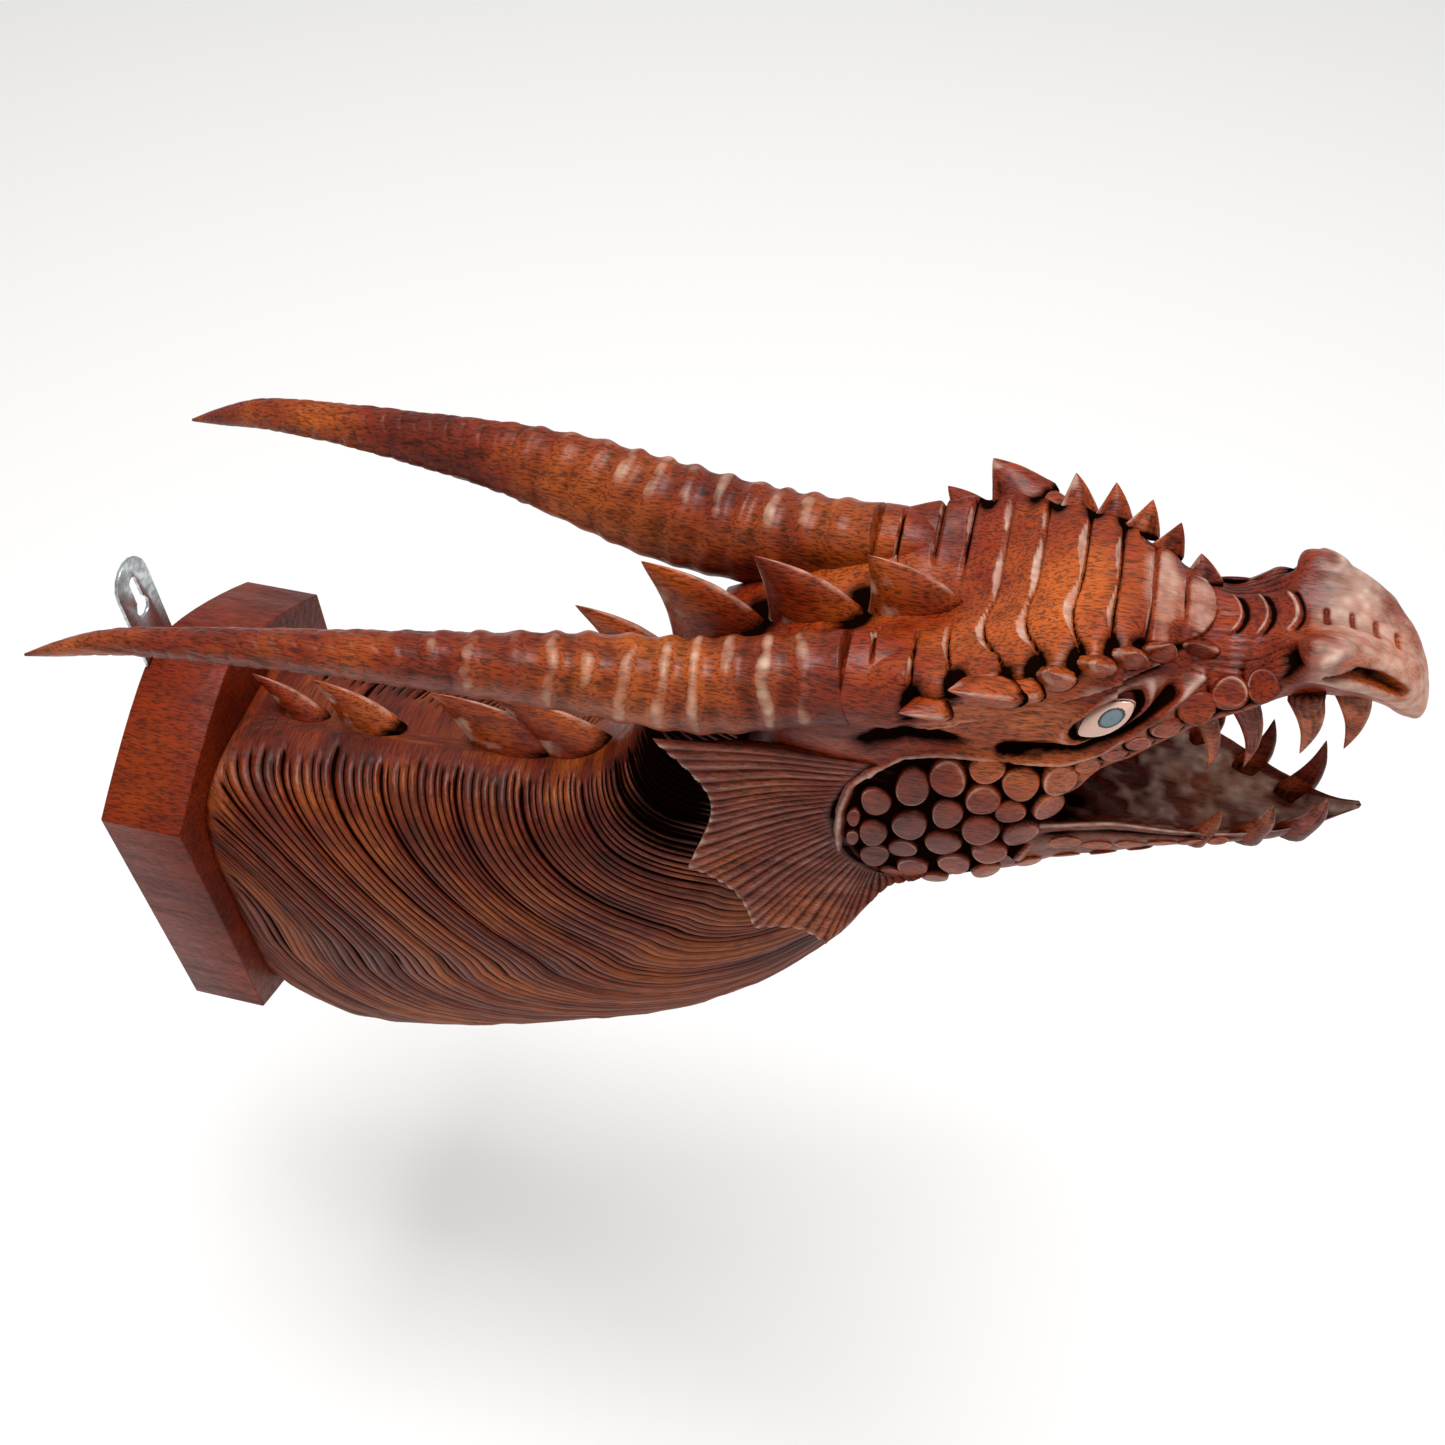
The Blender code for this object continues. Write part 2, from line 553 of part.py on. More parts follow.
def flat_plate(name, outline, thickness, back, collection):
    """An outline in X and Z given a thickness along Y, its back face at y = back."""
    vertices = [(x, back, z) for x, z in outline] + [(x, back - thickness, z) for x, z in outline]
    count = len(outline)
    faces = [tuple(range(count)), tuple(range(2 * count - 1, count - 1, -1))]
    faces += [(k, k + count, (k + 1) % count + count, (k + 1) % count) for k in range(count)]
    return mesh_object(name, vertices, faces, collection)


def rounded_top(width, low, high, steps=8):
    """Outline of a strip with a half-round upper end and square lower corners."""
    radius = width / 2
    arc = [math.pi * k / steps for k in range(steps + 1)]
    top = [(radius * math.cos(a), high - radius + radius * math.sin(a)) for a in arc]
    return top + [(-radius, low), (radius, low)]


def rod(name, radius_back, radius_front, length, x, back, z, collection, sides=8):
    """A cylinder or cone along -Y that starts at y = back."""
    shape = bmesh.new()
    bmesh.ops.create_cone(
        shape, cap_ends=True, segments=sides, radius1=radius_back, radius2=radius_front, depth=length
    )
    turn = Matrix.Rotation(math.radians(90), 4, "X")
    bmesh.ops.transform(shape, matrix=Matrix.Translation((x, back - length / 2, z)) @ turn, verts=shape.verts)
    bmesh.ops.recalc_face_normals(shape, faces=shape.faces)
    mesh = bpy.data.meshes.new(name)
    shape.to_mesh(mesh)
    shape.free()
    made = bpy.data.objects.new(name, mesh)
    collection.objects.link(made)
    return made


def combine(target, tool, operation, crossing=False):
    """Boolean that stays on the target as an EXACT modifier; the tool becomes a wire helper.
    crossing is for a tool whose own pieces run into each other."""
    modifier = target.modifiers.new(f"{operation.lower()} {tool.name}", "BOOLEAN")
    modifier.object = tool
    modifier.operation = operation
    modifier.solver = "EXACT"
    modifier.use_self = crossing
    tool.hide_render = True
    tool.display_type = "WIRE"


def joined(name, pieces, collection):
    """Separate closed pieces put in one helper mesh, so that one Boolean takes them all."""
    shape = bmesh.new()
    for piece in pieces:
        shape.from_mesh(piece.data)
        bpy.data.objects.remove(piece)
    mesh = bpy.data.meshes.new(name)
    shape.to_mesh(mesh)
    shape.free()
    made = bpy.data.objects.new(name, mesh)
    collection.objects.link(made)
    return made


def eye_turn(side):
    """Turns an eye's long axis along the eye line and its face outward and a little up."""
    forward = Vector((0, -math.cos(EYE_RISE), math.sin(EYE_RISE)))
    outward = Vector((-side * math.cos(EYE_TILT), 0, math.sin(EYE_TILT)))
    outward = (outward - forward * outward.dot(forward)).normalized()
    up = outward.cross(forward).normalized()
    return Matrix((forward, up, outward)).transposed().to_4x4()


def eye_body(name, side, grow, collection):
    """A lens-shaped inlay: a ball scaled to its length, height and depth."""
    shape = bmesh.new()
    bmesh.ops.create_uvsphere(shape, u_segments=EYE_SIDES, v_segments=6, radius=1)
    size = Matrix.Diagonal((EYE_LENGTH / 2 + grow, EYE_HEIGHT / 2 + grow, EYE_DEPTH / 2 + grow, 1))
    centre = place(np.array(EYE_PLACE) * np.array([1, side, 1]))
    bmesh.ops.transform(shape, matrix=Matrix.Translation(centre) @ eye_turn(side) @ size, verts=shape.verts)
    bmesh.ops.recalc_face_normals(shape, faces=shape.faces)
    mesh = bpy.data.meshes.new(name)
    shape.to_mesh(mesh)
    shape.free()
    made = bpy.data.objects.new(name, mesh)
    collection.objects.link(made)
    return made


def build_carving(parts, helpers, wood):
    carving = build_neck(parts)
    carving.name = "dragon_carving"
    combine(carving, build_head(helpers), "UNION")
    combine(carving, build_jaw(helpers), "UNION")
    for side in (1, -1):
        combine(carving, build_horn_root(side, helpers), "UNION")
        combine(carving, build_fin(side, helpers), "UNION")
    combine(carving, joined("carved_spikes", build_spikes(helpers), helpers), "UNION", True)
    combine(carving, joined("carved_scales", build_scales(helpers), helpers), "UNION")
    for side, word in ((1, "right"), (-1, "left")):
        bed = build_horn(side, f"{word}_horn_bed", SEAT_GAP / FORM, helpers)
        combine(carving, bed, "DIFFERENCE")
        combine(carving, eye_body(f"{word}_eye_socket", side, SEAT_GAP, helpers), "DIFFERENCE")
    carving.data.materials.append(wood)
    return carving


def build_board(parts, helpers, wood):
    board = flat_plate("wall_board", board_outline(), BOARD_THICKNESS, 0, parts)
    rebate_low = BOARD_HEIGHT / 2 - HANGER_LAP - SEAT_GAP
    rebate_half = HANGER_WIDTH / 2 + SEAT_GAP
    over = BOARD_HEIGHT / 2 + SEAT_GAP + 0.01
    rebate_outline = [(rebate_half, over), (-rebate_half, over), (-rebate_half, rebate_low), (rebate_half, rebate_low)]
    depth = HANGER_THICKNESS + SEAT_GAP
    rebate = flat_plate("hanger_rebate", rebate_outline, depth + 0.01, 0.01, helpers)
    combine(board, rebate, "DIFFERENCE")
    for z in screw_heights():
        hole = rod(
            f"pilot_hole_{z:.3f}", SCREW_SHANK_DIAMETER / 2 + SCREW_CLEARANCE,
            SCREW_SHANK_DIAMETER / 2 + SCREW_CLEARANCE, SCREW_LENGTH + SCREW_CLEARANCE, 0, 0, z, helpers,
        )
        combine(board, hole, "DIFFERENCE")
    board.data.materials.append(wood)
    return board


def screw_heights():
    """Heights of the two screws, evenly about the middle of the lapped length."""
    middle = BOARD_HEIGHT / 2 - HANGER_LAP / 2
    return (middle - SCREW_SPACING / 2, middle + SCREW_SPACING / 2)


def countersunk(name, grow, over, z, collection):
    """A countersunk screw's cone head and straight shank. grow widens them for a hole, and over
    carries the hole's cone on past the plate's back."""
    head_radius = SCREW_HEAD_DIAMETER / 2 + grow
    shank_radius = SCREW_SHANK_DIAMETER / 2 + grow
    flare = (head_radius - shank_radius) * over / SCREW_HEAD_DEPTH
    head = rod(
        name + "_head", head_radius + flare, shank_radius, SCREW_HEAD_DEPTH + over, 0, over, z, collection
    )
    start = -SCREW_HEAD_DEPTH / 2
    shank = rod(name, shank_radius, shank_radius, SCREW_LENGTH + start, 0, start, z, collection)
    return head, shank


def build_hanger(parts, helpers, steel):
    top = BOARD_HEIGHT / 2 + HANGER_RISE
    low = BOARD_HEIGHT / 2 - HANGER_LAP
    plate = flat_plate("hanger_plate", rounded_top(HANGER_WIDTH, low, top), HANGER_THICKNESS, 0, parts)
    slot_top = top - KEY_EDGE
    slot_low = slot_top - KEY_SLOT_LENGTH
    slot = flat_plate(
        "key_slot", rounded_top(KEY_SLOT_WIDTH, slot_low, slot_top), HANGER_THICKNESS + 0.01, 0.005, helpers
    )
    combine(plate, slot, "DIFFERENCE")
    key = rod(
        "key_hole", KEY_HOLE_DIAMETER / 2, KEY_HOLE_DIAMETER / 2, HANGER_THICKNESS + 0.01,
        0, 0.005, slot_low - KEY_HOLE_DIAMETER / 4, helpers,
    )
    combine(plate, key, "DIFFERENCE")
    plate.data.materials.append(steel)
    for z, word in zip(screw_heights(), ("lower", "upper")):
        head, shank = countersunk(f"hanger_screw_{word}", 0, 0, z, parts)
        combine(shank, head, "UNION")
        parts.objects.unlink(head)
        helpers.objects.link(head)
        shank.data.materials.append(steel)
        hole_head, hole_shank = countersunk(
            f"screw_hole_{word}", SCREW_CLEARANCE, HANGER_THICKNESS / 2, z, helpers
        )
        combine(plate, hole_head, "DIFFERENCE")
        combine(plate, hole_shank, "DIFFERENCE")
    return plate


def main():
    for found in list(bpy.data.objects):
        bpy.data.objects.remove(found)
    parts = bpy.data.collections.new("dragon head wall carving")
    helpers = bpy.data.collections.new("cutters and joined forms")
    bpy.context.scene.collection.children.link(parts)
    bpy.context.scene.collection.children.link(helpers)
    wood = material("stained hardwood", (0.20, 0.055, 0.022), 0.38)
    horn_wood = material("stained horn wood", (0.24, 0.075, 0.03), 0.42)
    board_wood = material("stained board wood", (0.28, 0.10, 0.035), 0.42)
    steel = material("zinc plated steel", (0.62, 0.64, 0.66), 0.35, 1.0)
    shell = material("shell inlay", (0.75, 0.55, 0.50), 0.2)
    build_carving(parts, helpers, wood)
    for side, word in ((1, "right"), (-1, "left")):
        horn = build_horn(side, f"{word}_horn", 0, parts)
        horn.data.materials.append(horn_wood)
        eye = eye_body(f"{word}_eye", side, 0, parts)
        eye.data.materials.append(shell)
    build_board(parts, helpers, board_wood)
    build_hanger(parts, helpers, steel)


main()
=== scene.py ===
"""Dragon head wall carving: the carved and stained surfaces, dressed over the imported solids.

Laid out as an add-on and run as a script. Free forms are written in form units: u out from the
board's face, w towards the dragon's right, z up from the carving's datum, about a millimetre each.
"""

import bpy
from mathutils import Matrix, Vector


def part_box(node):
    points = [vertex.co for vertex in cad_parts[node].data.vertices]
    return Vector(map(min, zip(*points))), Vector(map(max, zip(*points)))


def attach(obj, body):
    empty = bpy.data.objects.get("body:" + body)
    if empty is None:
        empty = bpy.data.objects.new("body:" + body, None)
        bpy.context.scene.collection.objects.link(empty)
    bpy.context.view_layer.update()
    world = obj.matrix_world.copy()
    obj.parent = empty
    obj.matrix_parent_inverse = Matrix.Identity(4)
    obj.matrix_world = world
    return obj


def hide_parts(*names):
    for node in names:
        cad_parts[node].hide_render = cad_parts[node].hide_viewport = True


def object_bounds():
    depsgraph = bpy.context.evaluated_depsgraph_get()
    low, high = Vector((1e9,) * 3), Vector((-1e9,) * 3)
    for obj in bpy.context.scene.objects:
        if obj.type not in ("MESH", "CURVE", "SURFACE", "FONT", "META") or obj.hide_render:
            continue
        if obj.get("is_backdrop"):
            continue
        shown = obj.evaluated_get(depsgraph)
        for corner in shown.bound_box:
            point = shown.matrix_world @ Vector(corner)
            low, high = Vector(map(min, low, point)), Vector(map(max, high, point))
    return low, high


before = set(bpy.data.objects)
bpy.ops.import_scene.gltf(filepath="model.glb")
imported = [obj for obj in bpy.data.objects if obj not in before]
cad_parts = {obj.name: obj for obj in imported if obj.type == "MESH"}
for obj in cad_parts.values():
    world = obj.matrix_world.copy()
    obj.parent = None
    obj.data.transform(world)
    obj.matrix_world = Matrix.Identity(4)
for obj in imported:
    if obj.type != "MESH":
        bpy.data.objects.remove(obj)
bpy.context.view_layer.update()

import math

import bmesh
import bpy
import numpy as np
from mathutils import Vector

bl_info = {
    "name": "Dragon Head Wall Carving",
    "version": (1, 0, 0),
    "blender": (4, 5, 0),
    "location": "View3D > Sidebar > Carving",
    "description": "Carved hardwood surfaces for a dragon head that hangs on a wall",
    "category": "Object",
}

# The carving's place and scale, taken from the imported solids
CARVING_LOW, CARVING_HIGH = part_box("dragon_carving")
FORM_REACH = 463.7
FORM = (CARVING_HIGH.y - CARVING_LOW.y) / FORM_REACH
CARVING_DATUM = 0.0135

# Neck, in form units: (dorsal u, dorsal z, throat u, throat z, half width, squareness)
NECK = np.array([
    (0, 61, 0, -110, 61, 4.6),
    (40, 61, 28, -146, 61, 3.4),
    (80, 63, 62, -150, 60, 3.0),
    (115, 65, 108, -136, 58, 2.8),
    (145, 70, 160, -110, 56, 2.7),
    (168, 83, 211, -83, 52, 2.6),
    (182, 104, 251, -47, 47, 2.5),
    (190, 130, 278, -6, 43, 2.5),
    (202, 156, 295, 36, 41, 2.5),
    (232, 172, 308, 68, 39, 2.5),
], float)
NECK_SWEEP = 0.95
NECK_POWER = 2.0
# The hollow carved behind the cheek fin, also darkened as painted shade: (middle u, middle z, reach in u,
# reach in z), and depth
NECK_HOLLOW = (202.0, 112.0, 30.0, 38.0)
NECK_HOLLOW_DEPTH = 8.0
# Average run of a strand, and the steps along it
STRAND_RUN = 300.0
STRAND_STEPS = 76

# Head: stations u, and (w, z) from the crown round to the throat
HEAD_STATIONS = [
    215, 238, 262, 284, 304, 320, 333, 345, 350, 357, 372, 389, 402, 414, 428, 445, 456, 461, 463.2,
]
HEAD_SECTIONS = np.array([
    [(0, 166), (18, 165), (30, 158), (38, 146), (42, 130), (43, 112), (42, 95), (30, 76), (0, 68)],
    [(0, 179), (20, 178), (34, 170), (42, 157), (45, 142), (46, 122), (45, 102), (34, 80), (0, 70)],
    [(0, 188), (22, 191), (39, 194), (47, 179), (46, 156), (47, 132), (46, 108), (36, 80), (0, 68)],
    [(0, 195), (23, 203), (42, 206), (49, 188), (46, 166), (47, 140), (47, 112), (38, 80), (0, 66)],
    [(0, 202), (25, 207), (46, 211), (47, 195), (43, 176), (46, 152), (46, 120), (37, 82), (0, 66)],
    [(0, 212), (24, 214), (44, 217), (45, 203), (42, 184), (45, 158), (45, 124), (36, 86), (0, 72)],
    [(0, 220), (22, 221), (41, 219), (43, 206), (41, 190), (43, 163), (44, 128), (35, 93), (0, 79)],
    [(0, 224), (20, 225), (37, 222), (41, 208), (40, 193), (42, 170), (41, 140), (33, 106), (0, 92)],
    [(0, 225), (19, 226), (35, 223), (40, 209), (40, 194), (41, 174), (39, 150), (32, 130), (0, 124)],
    [(0, 226), (17, 226), (32, 223), (38, 210), (39, 195), (39, 180), (38, 168), (33, 158), (0, 158)],
    [(0, 224), (13, 224), (24, 220), (31, 210), (35, 200), (36, 190), (34, 180), (28, 176), (0, 182)],
    [(0, 220), (9, 220), (19, 216), (26, 210), (30, 204), (31, 200), (29, 194), (22, 191), (0, 197)],
    [(0, 220), (8, 220), (17, 218), (25, 214), (28, 210), (28.5, 206), (26, 202), (18, 200), (0, 205)],
    [(0, 224), (9, 226), (19, 231.5), (26, 228), (26, 219), (24, 213), (22, 208), (15, 206), (0, 209)],
    [(0, 225), (10, 228), (19, 230), (24.5, 224), (23, 217), (20, 211), (18, 208), (12, 207), (0, 209)],
    [(0, 219), (8, 221), (15, 221), (19, 215), (18, 209), (15.5, 205), (13, 203), (8, 203), (0, 204)],
    [(0, 211), (5, 212), (10, 210), (13, 205), (12, 199), (10, 195), (8, 193), (4, 192), (0, 192)],
    [(0, 202), (3, 202), (6, 201), (8, 198.5), (8, 195), (7, 192.5), (5.5, 191), (3, 190.3), (0, 190)],
    [
        (0, 193), (1, 193), (1.8, 192.6), (2.2, 191.8), (2.2, 191), (2, 190.4), (1.5, 190), (1, 189.8),
        (0, 189.7),
    ],
], float)
HEAD_END = (463.7, 191)

# Lower jaw: stations u, and (w, z) from the mouth's floor over the rim to below
JAW_STATIONS = [318, 345, 357, 372, 397, 418, 440, 455, 460.5]
JAW_SECTIONS = np.array([
    [(0, 118), (18, 119), (30, 122), (38, 120), (40, 108), (33, 84), (0, 76)],
    [(0, 113), (18, 115), (31, 128), (38, 134), (39, 119), (32, 100), (0, 90)],
    [(0, 113), (17, 115), (30, 129), (36, 135), (36, 122), (29, 106), (0, 97)],
    [(0, 114), (16, 116), (27, 128.5), (33, 134), (33, 124), (27, 111), (0, 103)],
    [(0, 115), (13, 116.5), (22, 125), (28, 130), (27.5, 125), (21, 117), (0, 109)],
    [(0, 115), (9, 116), (16, 121.5), (21, 126), (20.5, 123), (15, 118), (0, 111.5)],
    [(0, 118), (4.5, 118.8), (7.8, 121.5), (11, 124), (10.6, 122.5), (8, 119.5), (0, 115)],
    [(0, 128.6), (1.4, 128.8), (2.5, 129.6), (3.6, 130.2), (3.4, 129.3), (2.2, 128), (0, 126.2)],
    [(0, 131.5), (0.8, 131.5), (1.2, 132.5), (1.6, 133.2), (1.4, 132.6), (0.9, 131.8), (0, 131)],
], float)
JAW_END = (461.3, 133.0)
# How far the jaw's rim stands over its sections
JAW_RIM_RISE = 3.5

# Crown grooves: (u at the midline, half width reached, first w, bow back at w 15, hook forward at
# the right end, width of the bevel)
CROWN_GROOVES = [
    (278.8, 39, 12, 0.0, 0.6, 3.6), (292.3, 48, 16, 0.0, 0.8, 3.2), (303.2, 46, 4, 0.6, 1.8, 3.0),
    (316.1, 44, 0, 2.8, 5.5, 3.4), (328.6, 41, 0, 2.4, 5.8, 4.0), (342.8, 37, 0, 2.0, 4.6, 4.4),
    (354.6, 31, 0, 0.6, 3.0, 3.2), (366.4, 24, 0, 0.2, 2.6, 3.2), (377.6, 13, 0, 0.0, 0.0, 2.6),
]
LEAF_CENTRE, LEAF_REACH, LEAF_HALF_WIDTH = 360.0, 27.5, 24.0
BRIDGE_PLATES = [396.0, 404.2, 413.0]
NOTCHES = [421.0, 429.2, 437.4, 445.2]

# Lines carved on the side of the head, as (u, z)
CHEEK_RIDGE = [
    (284, 157), (295, 168), (311, 172), (327, 174), (334, 174), (348, 176), (359.5, 182), (372, 199),
    (386, 212),
]
TEAR_GROOVE = [(329, 177.5), (338, 180.5), (352, 183.5), (366, 194), (377, 208)]
BROW_LINE = [(290, 184), (304, 187), (318, 193), (332, 201), (344, 207.5), (358, 213), (372, 216)]
TEMPLE_HOLLOW = [(283, 176), (294, 182), (304, 178.5), (318, 177)]
CHEEK_RIM = [
    (297, 85), (287, 87), (279.5, 95), (276, 107), (275, 119), (275, 133), (277.6, 147.7), (284, 157),
]
NOSTRIL_SLIT = [(422, 221.5), (430, 223.5), (438, 220.5), (449, 213)]
NOSTRIL_RIDGE = [(419, 229), (429, 232), (441, 225.5), (453, 211)]
NOSE_HOLLOW = (410.5, 224.0)
CHEEK_FRONT = 353.0
# On the dragon's left the cut round the lip bosses ends at this u
FAR_MOAT_TO = 390

# Round bosses of the cheek and lips: (u, z, half length, half height)
BOSSES = [
    (287.5, 141, 4.9, 5.0), (299.7, 152, 5.3, 6.2), (311.3, 160, 5.5, 5.6), (323.9, 167, 5.4, 3.8),
    (336.4, 161.5, 5.3, 5.5), (349.2, 165.5, 5.0, 5.6), (280.3, 129.5, 2.2, 3.0), (288.1, 122, 4.6, 4.8),
    (301, 130, 5.4, 5.6), (313.5, 140.5, 5.0, 5.2), (324.9, 151, 5.3, 5.0), (335.2, 146, 4.6, 4.0),
    (348.2, 148.5, 5.0, 5.4), (280.8, 117, 2.0, 3.0), (289.8, 105.5, 5.0, 5.0), (299.8, 113.5, 4.6, 3.9),
    (314.1, 120.5, 5.8, 5.0), (326.3, 133, 5.7, 5.4), (340.9, 131.5, 5.7, 5.0), (304.5, 98.5, 4.9, 5.0),
    (319.8, 106, 5.4, 5.2), (331.6, 118, 5.6, 4.6), (345.6, 117, 5.4, 4.6), (313.5, 90, 4.6, 4.2),
    (332, 102, 5.0, 4.4), (296.5, 91.5, 4.2, 3.6),
]
LIP_BOSSES = [
    (357, 173.2, 4.2, 4.0), (364.6, 179.6, 4.3, 3.8), (371.4, 186.6, 4.2, 4.2), (378.6, 194.5, 4.8, 4.8),
    (386.6, 203, 5.6, 5.6), (395, 209.5, 5.5, 5.4), (403.6, 214.6, 5.2, 5.2),
]
JAW_BOSSES = [
    (357.5, 124.5, 6.2, 3.6), (369.5, 122.5, 5.6, 2.8), (381, 124, 5.4, 2.4), (392, 125.6, 5.2, 2.2),
    (402.5, 126.6, 4.8, 2.0), (412, 127.2, 4.2, 1.7), (347, 108, 5.0, 4.0), (360, 111, 5.0, 3.6),
    (373, 114, 4.8, 3.2), (386, 117, 4.6, 2.8),
]

# Spikes: base (u, w, z), tip (u, w, z), base length, base width
BACK_SPIKES = [
    ((288, 0, 192), (270.5, 0, 217), 40, 15),
    ((253, 0, 178), (230.7, 0, 207.3), 42, 15),
    ((217, 0, 162), (188.5, 0, 194.8), 44, 15),
    ((190, 0, 136), (161, 0, 164.7), 32, 14),
    ((155, 0, 72), (121, 0, 97), 42, 13),
    ((127, 0, 60), (90.7, 0, 92.6), 50, 13),
    ((58, 0, 58), (35.6, 0, 86), 36, 13),
    ((26, 0, 56), (6, 0, 82), 26, 12),
]
BROW_SPIKES = [
    ((302, 47, 200), (291.5, 56, 204), 17, 9),
    ((319.5, 45, 211), (306, 56.6, 220), 27, 11),
    ((330, 43, 212), (322, 52, 216.5), 15, 9),
    ((338.5, 39.5, 216), (335.4, 47.6, 227), 15, 9),
    ((350.5, 35, 220), (349.3, 43, 229.5), 14, 8),
    ((360.5, 30, 221), (362, 36, 230.5), 13, 8),
    ((370, 24, 219.5), (372.3, 28.5, 229), 12, 7),
    ((382.5, 15.5, 215.5), (380.5, 21, 223.5), 15, 8),
]
TEETH = [
    ((435, 15, 206), (440, 16, 180), 12, 7),
    ((420, 21, 206), (426, 20, 178), 12, 7),
    ((402, 24, 201), (410, 22, 168), 10, 6),
    ((391, 26, 194), (398, 25, 165), 8, 6),
    ((440, 9.5, 123.5), (444, 13.7, 149.5), 13, 6),
    ((423, 17, 125), (425.5, 20.3, 148.6), 12, 6),
    ((404, 24, 127), (408, 25, 147), 10, 6),
]

# Cheek fin: (u, w, z) along its root, and its tips with the rib that each stands on
FIN_ROOT = np.array([
    (284, 43, 162), (276, 43, 148), (272, 43, 134), (273, 43, 121), (278, 42, 108),
    (285, 41, 99), (291, 40, 94), (297, 39, 92),
], float)
FIN_TIPS = np.array([
    (208, 58, 166.5), (219.5, 58, 90), (246, 57, 53.5), (275.5, 54, 47), (310, 44, 95),
], float)
FIN_TIP_RIBS = np.array([0, 6, 10, 13, 17], float)
FIN_SCALLOPS = [15, 7, 6, 8]
FIN_THICKNESS = 4.0
FIN_RIBS = 36
SAMPLES_PER_RIB = 7

# Horn centreline: (u, w, z, half height, half thickness)
HORN = np.array([
    (272, 34.4, 192, 13.8, 16.5),
    (255, 35.5, 187, 15.5, 16.5),
    (221, 39.7, 179.1, 19, 17),
    (185, 43.6, 179.3, 19.5, 15),
    (150, 49.8, 181.5, 17.5, 12.4),
    (114, 55.2, 182.3, 14, 10),
    (78, 59, 180.8, 11, 8.1),
    (40, 62.9, 178.3, 8.5, 6.4),
    (0, 66.5, 172.6, 6, 4.6),
    (-16.8, 68, 166.7, 3.8, 3.1),
    (-33.7, 69.5, 160.2, 0.5, 0.5),
], float)
HORN_FRONT = 272
HORN_LEAN = math.radians(52)
HORN_RINGED = 190

# Eye: centre, the rise of its long axis and the tilt of its face
EYE_CENTRE = (358.0, 38.3, 199.5)
EYE_RISE = math.radians(46)
EYE_TILT = math.radians(22)
EYE_TURN = 0.22
EYE_REACH = (11.2, 5.3)
EYE_DOME = 3.0
IRIS_REACH = (5.0, 3.0)
IRIS_MIDDLE = (2.4, 0.1)

# The sign of w on each side of the dragon
SIDES = ((1, "right"), (-1, "left"))

# Radius of the rubbed edges of the plate and its screws, and the angle from which an edge has one
PLATE_EDGE = 0.00025
SCREW_EDGE = 0.0002
STEEL_ANGLE = 0.8

# The camera's place in form units, fitted to the photograph
CAMERA_PLACE = (309.03, 369.69, 582.42)


def spline(knots, rows, at):
    """Smooth cubic through rows at the knots, with each slope taken from its two neighbours."""
    knots = np.asarray(knots, float)
    rows = np.asarray(rows, float)
    at = np.atleast_1d(np.asarray(at, float))
    slopes = np.gradient(rows, knots, axis=0)
    k = np.clip(np.searchsorted(knots, at, side="right") - 1, 0, len(knots) - 2)
    width = (knots[k + 1] - knots[k]).reshape((-1,) + (1,) * (rows.ndim - 1))
    t = (at - knots[k]).reshape(width.shape) / width
    a = 2 * t**3 - 3 * t**2 + 1
    b = t**3 - 2 * t**2 + t
    c = 3 * t**2 - 2 * t**3
    d = t**3 - t**2
    return a * rows[k] + b * width * slopes[k] + c * rows[k + 1] + d * width * slopes[k + 1]


def place(form_points):
    """Form units (u, w, z) to metres in the frame, where the dragon's right is -X."""
    points = np.asarray(form_points, float) * FORM
    x = -points[..., 1]
    y = CARVING_HIGH.y - points[..., 0]
    z = points[..., 2] + CARVING_DATUM
    return np.stack([x, y, z], axis=-1)


def ease(x):
    """0 below 0, 1 above 1, and a smooth S between: 3x^2 - 2x^3."""
    x = np.clip(x, 0, 1)
    return x * x * (3 - 2 * x)


def bell(x, width):
    """The exponential of minus (x / width) squared: 1 at 0, about a third at the width."""
    return np.exp(-((x / width) ** 2))


def lattice_noise(points, size, seed):
    """Smooth noise from -1 to 1: random values on a cubic lattice of that size, eased between."""
    table = np.random.default_rng(seed).uniform(-1, 1, (16, 16, 16))
    scaled = np.asarray(points, float) / size
    cell = np.floor(scaled).astype(int)
    f = ease(scaled - cell)
    total = np.zeros(scaled.shape[:-1])
    for i in (0, 1):
        for j in (0, 1):
            for k in (0, 1):
                share = np.abs(1 - i - f[..., 0]) * np.abs(1 - j - f[..., 1]) * np.abs(1 - k - f[..., 2])
                at = (cell + (i, j, k)) % 16
                total += share * table[at[..., 0], at[..., 1], at[..., 2]]
    return total


def outward(rings):
    """Unit normals of closed rings (rows along u, columns from the crown round by the right side),
    facing away from the body: the cross product of the two directions of the surface."""
    along = np.gradient(rings, axis=0)
    round_it = np.roll(rings, -1, axis=1) - np.roll(rings, 1, axis=1)
    normal = np.cross(along, round_it)
    length = np.linalg.norm(normal, axis=2, keepdims=True)
    return normal / np.maximum(length, 1e-9)


def line_distance(line, a, b):
    """Distance from each point (a, b) to a line of points, and the share of the line reached."""
    line = np.asarray(line, float)
    best = np.full(a.shape, 1e9)
    share = np.zeros(a.shape)
    parts = len(line) - 1
    for k in range(parts):
        start = line[k]
        step = line[k + 1] - start
        t = np.clip(((a - start[0]) * step[0] + (b - start[1]) * step[1]) / (step @ step), 0, 1)
        gap = np.hypot(a - start[0] - t * step[0], b - start[1] - t * step[1])
        share = np.where(gap < best, (k + t) / parts, share)
        best = np.minimum(gap, best)
    return best, share


def round_turn(count):
    """That many angles, evenly spaced round a full turn."""
    return np.linspace(0, 2 * math.pi, count, endpoint=False)


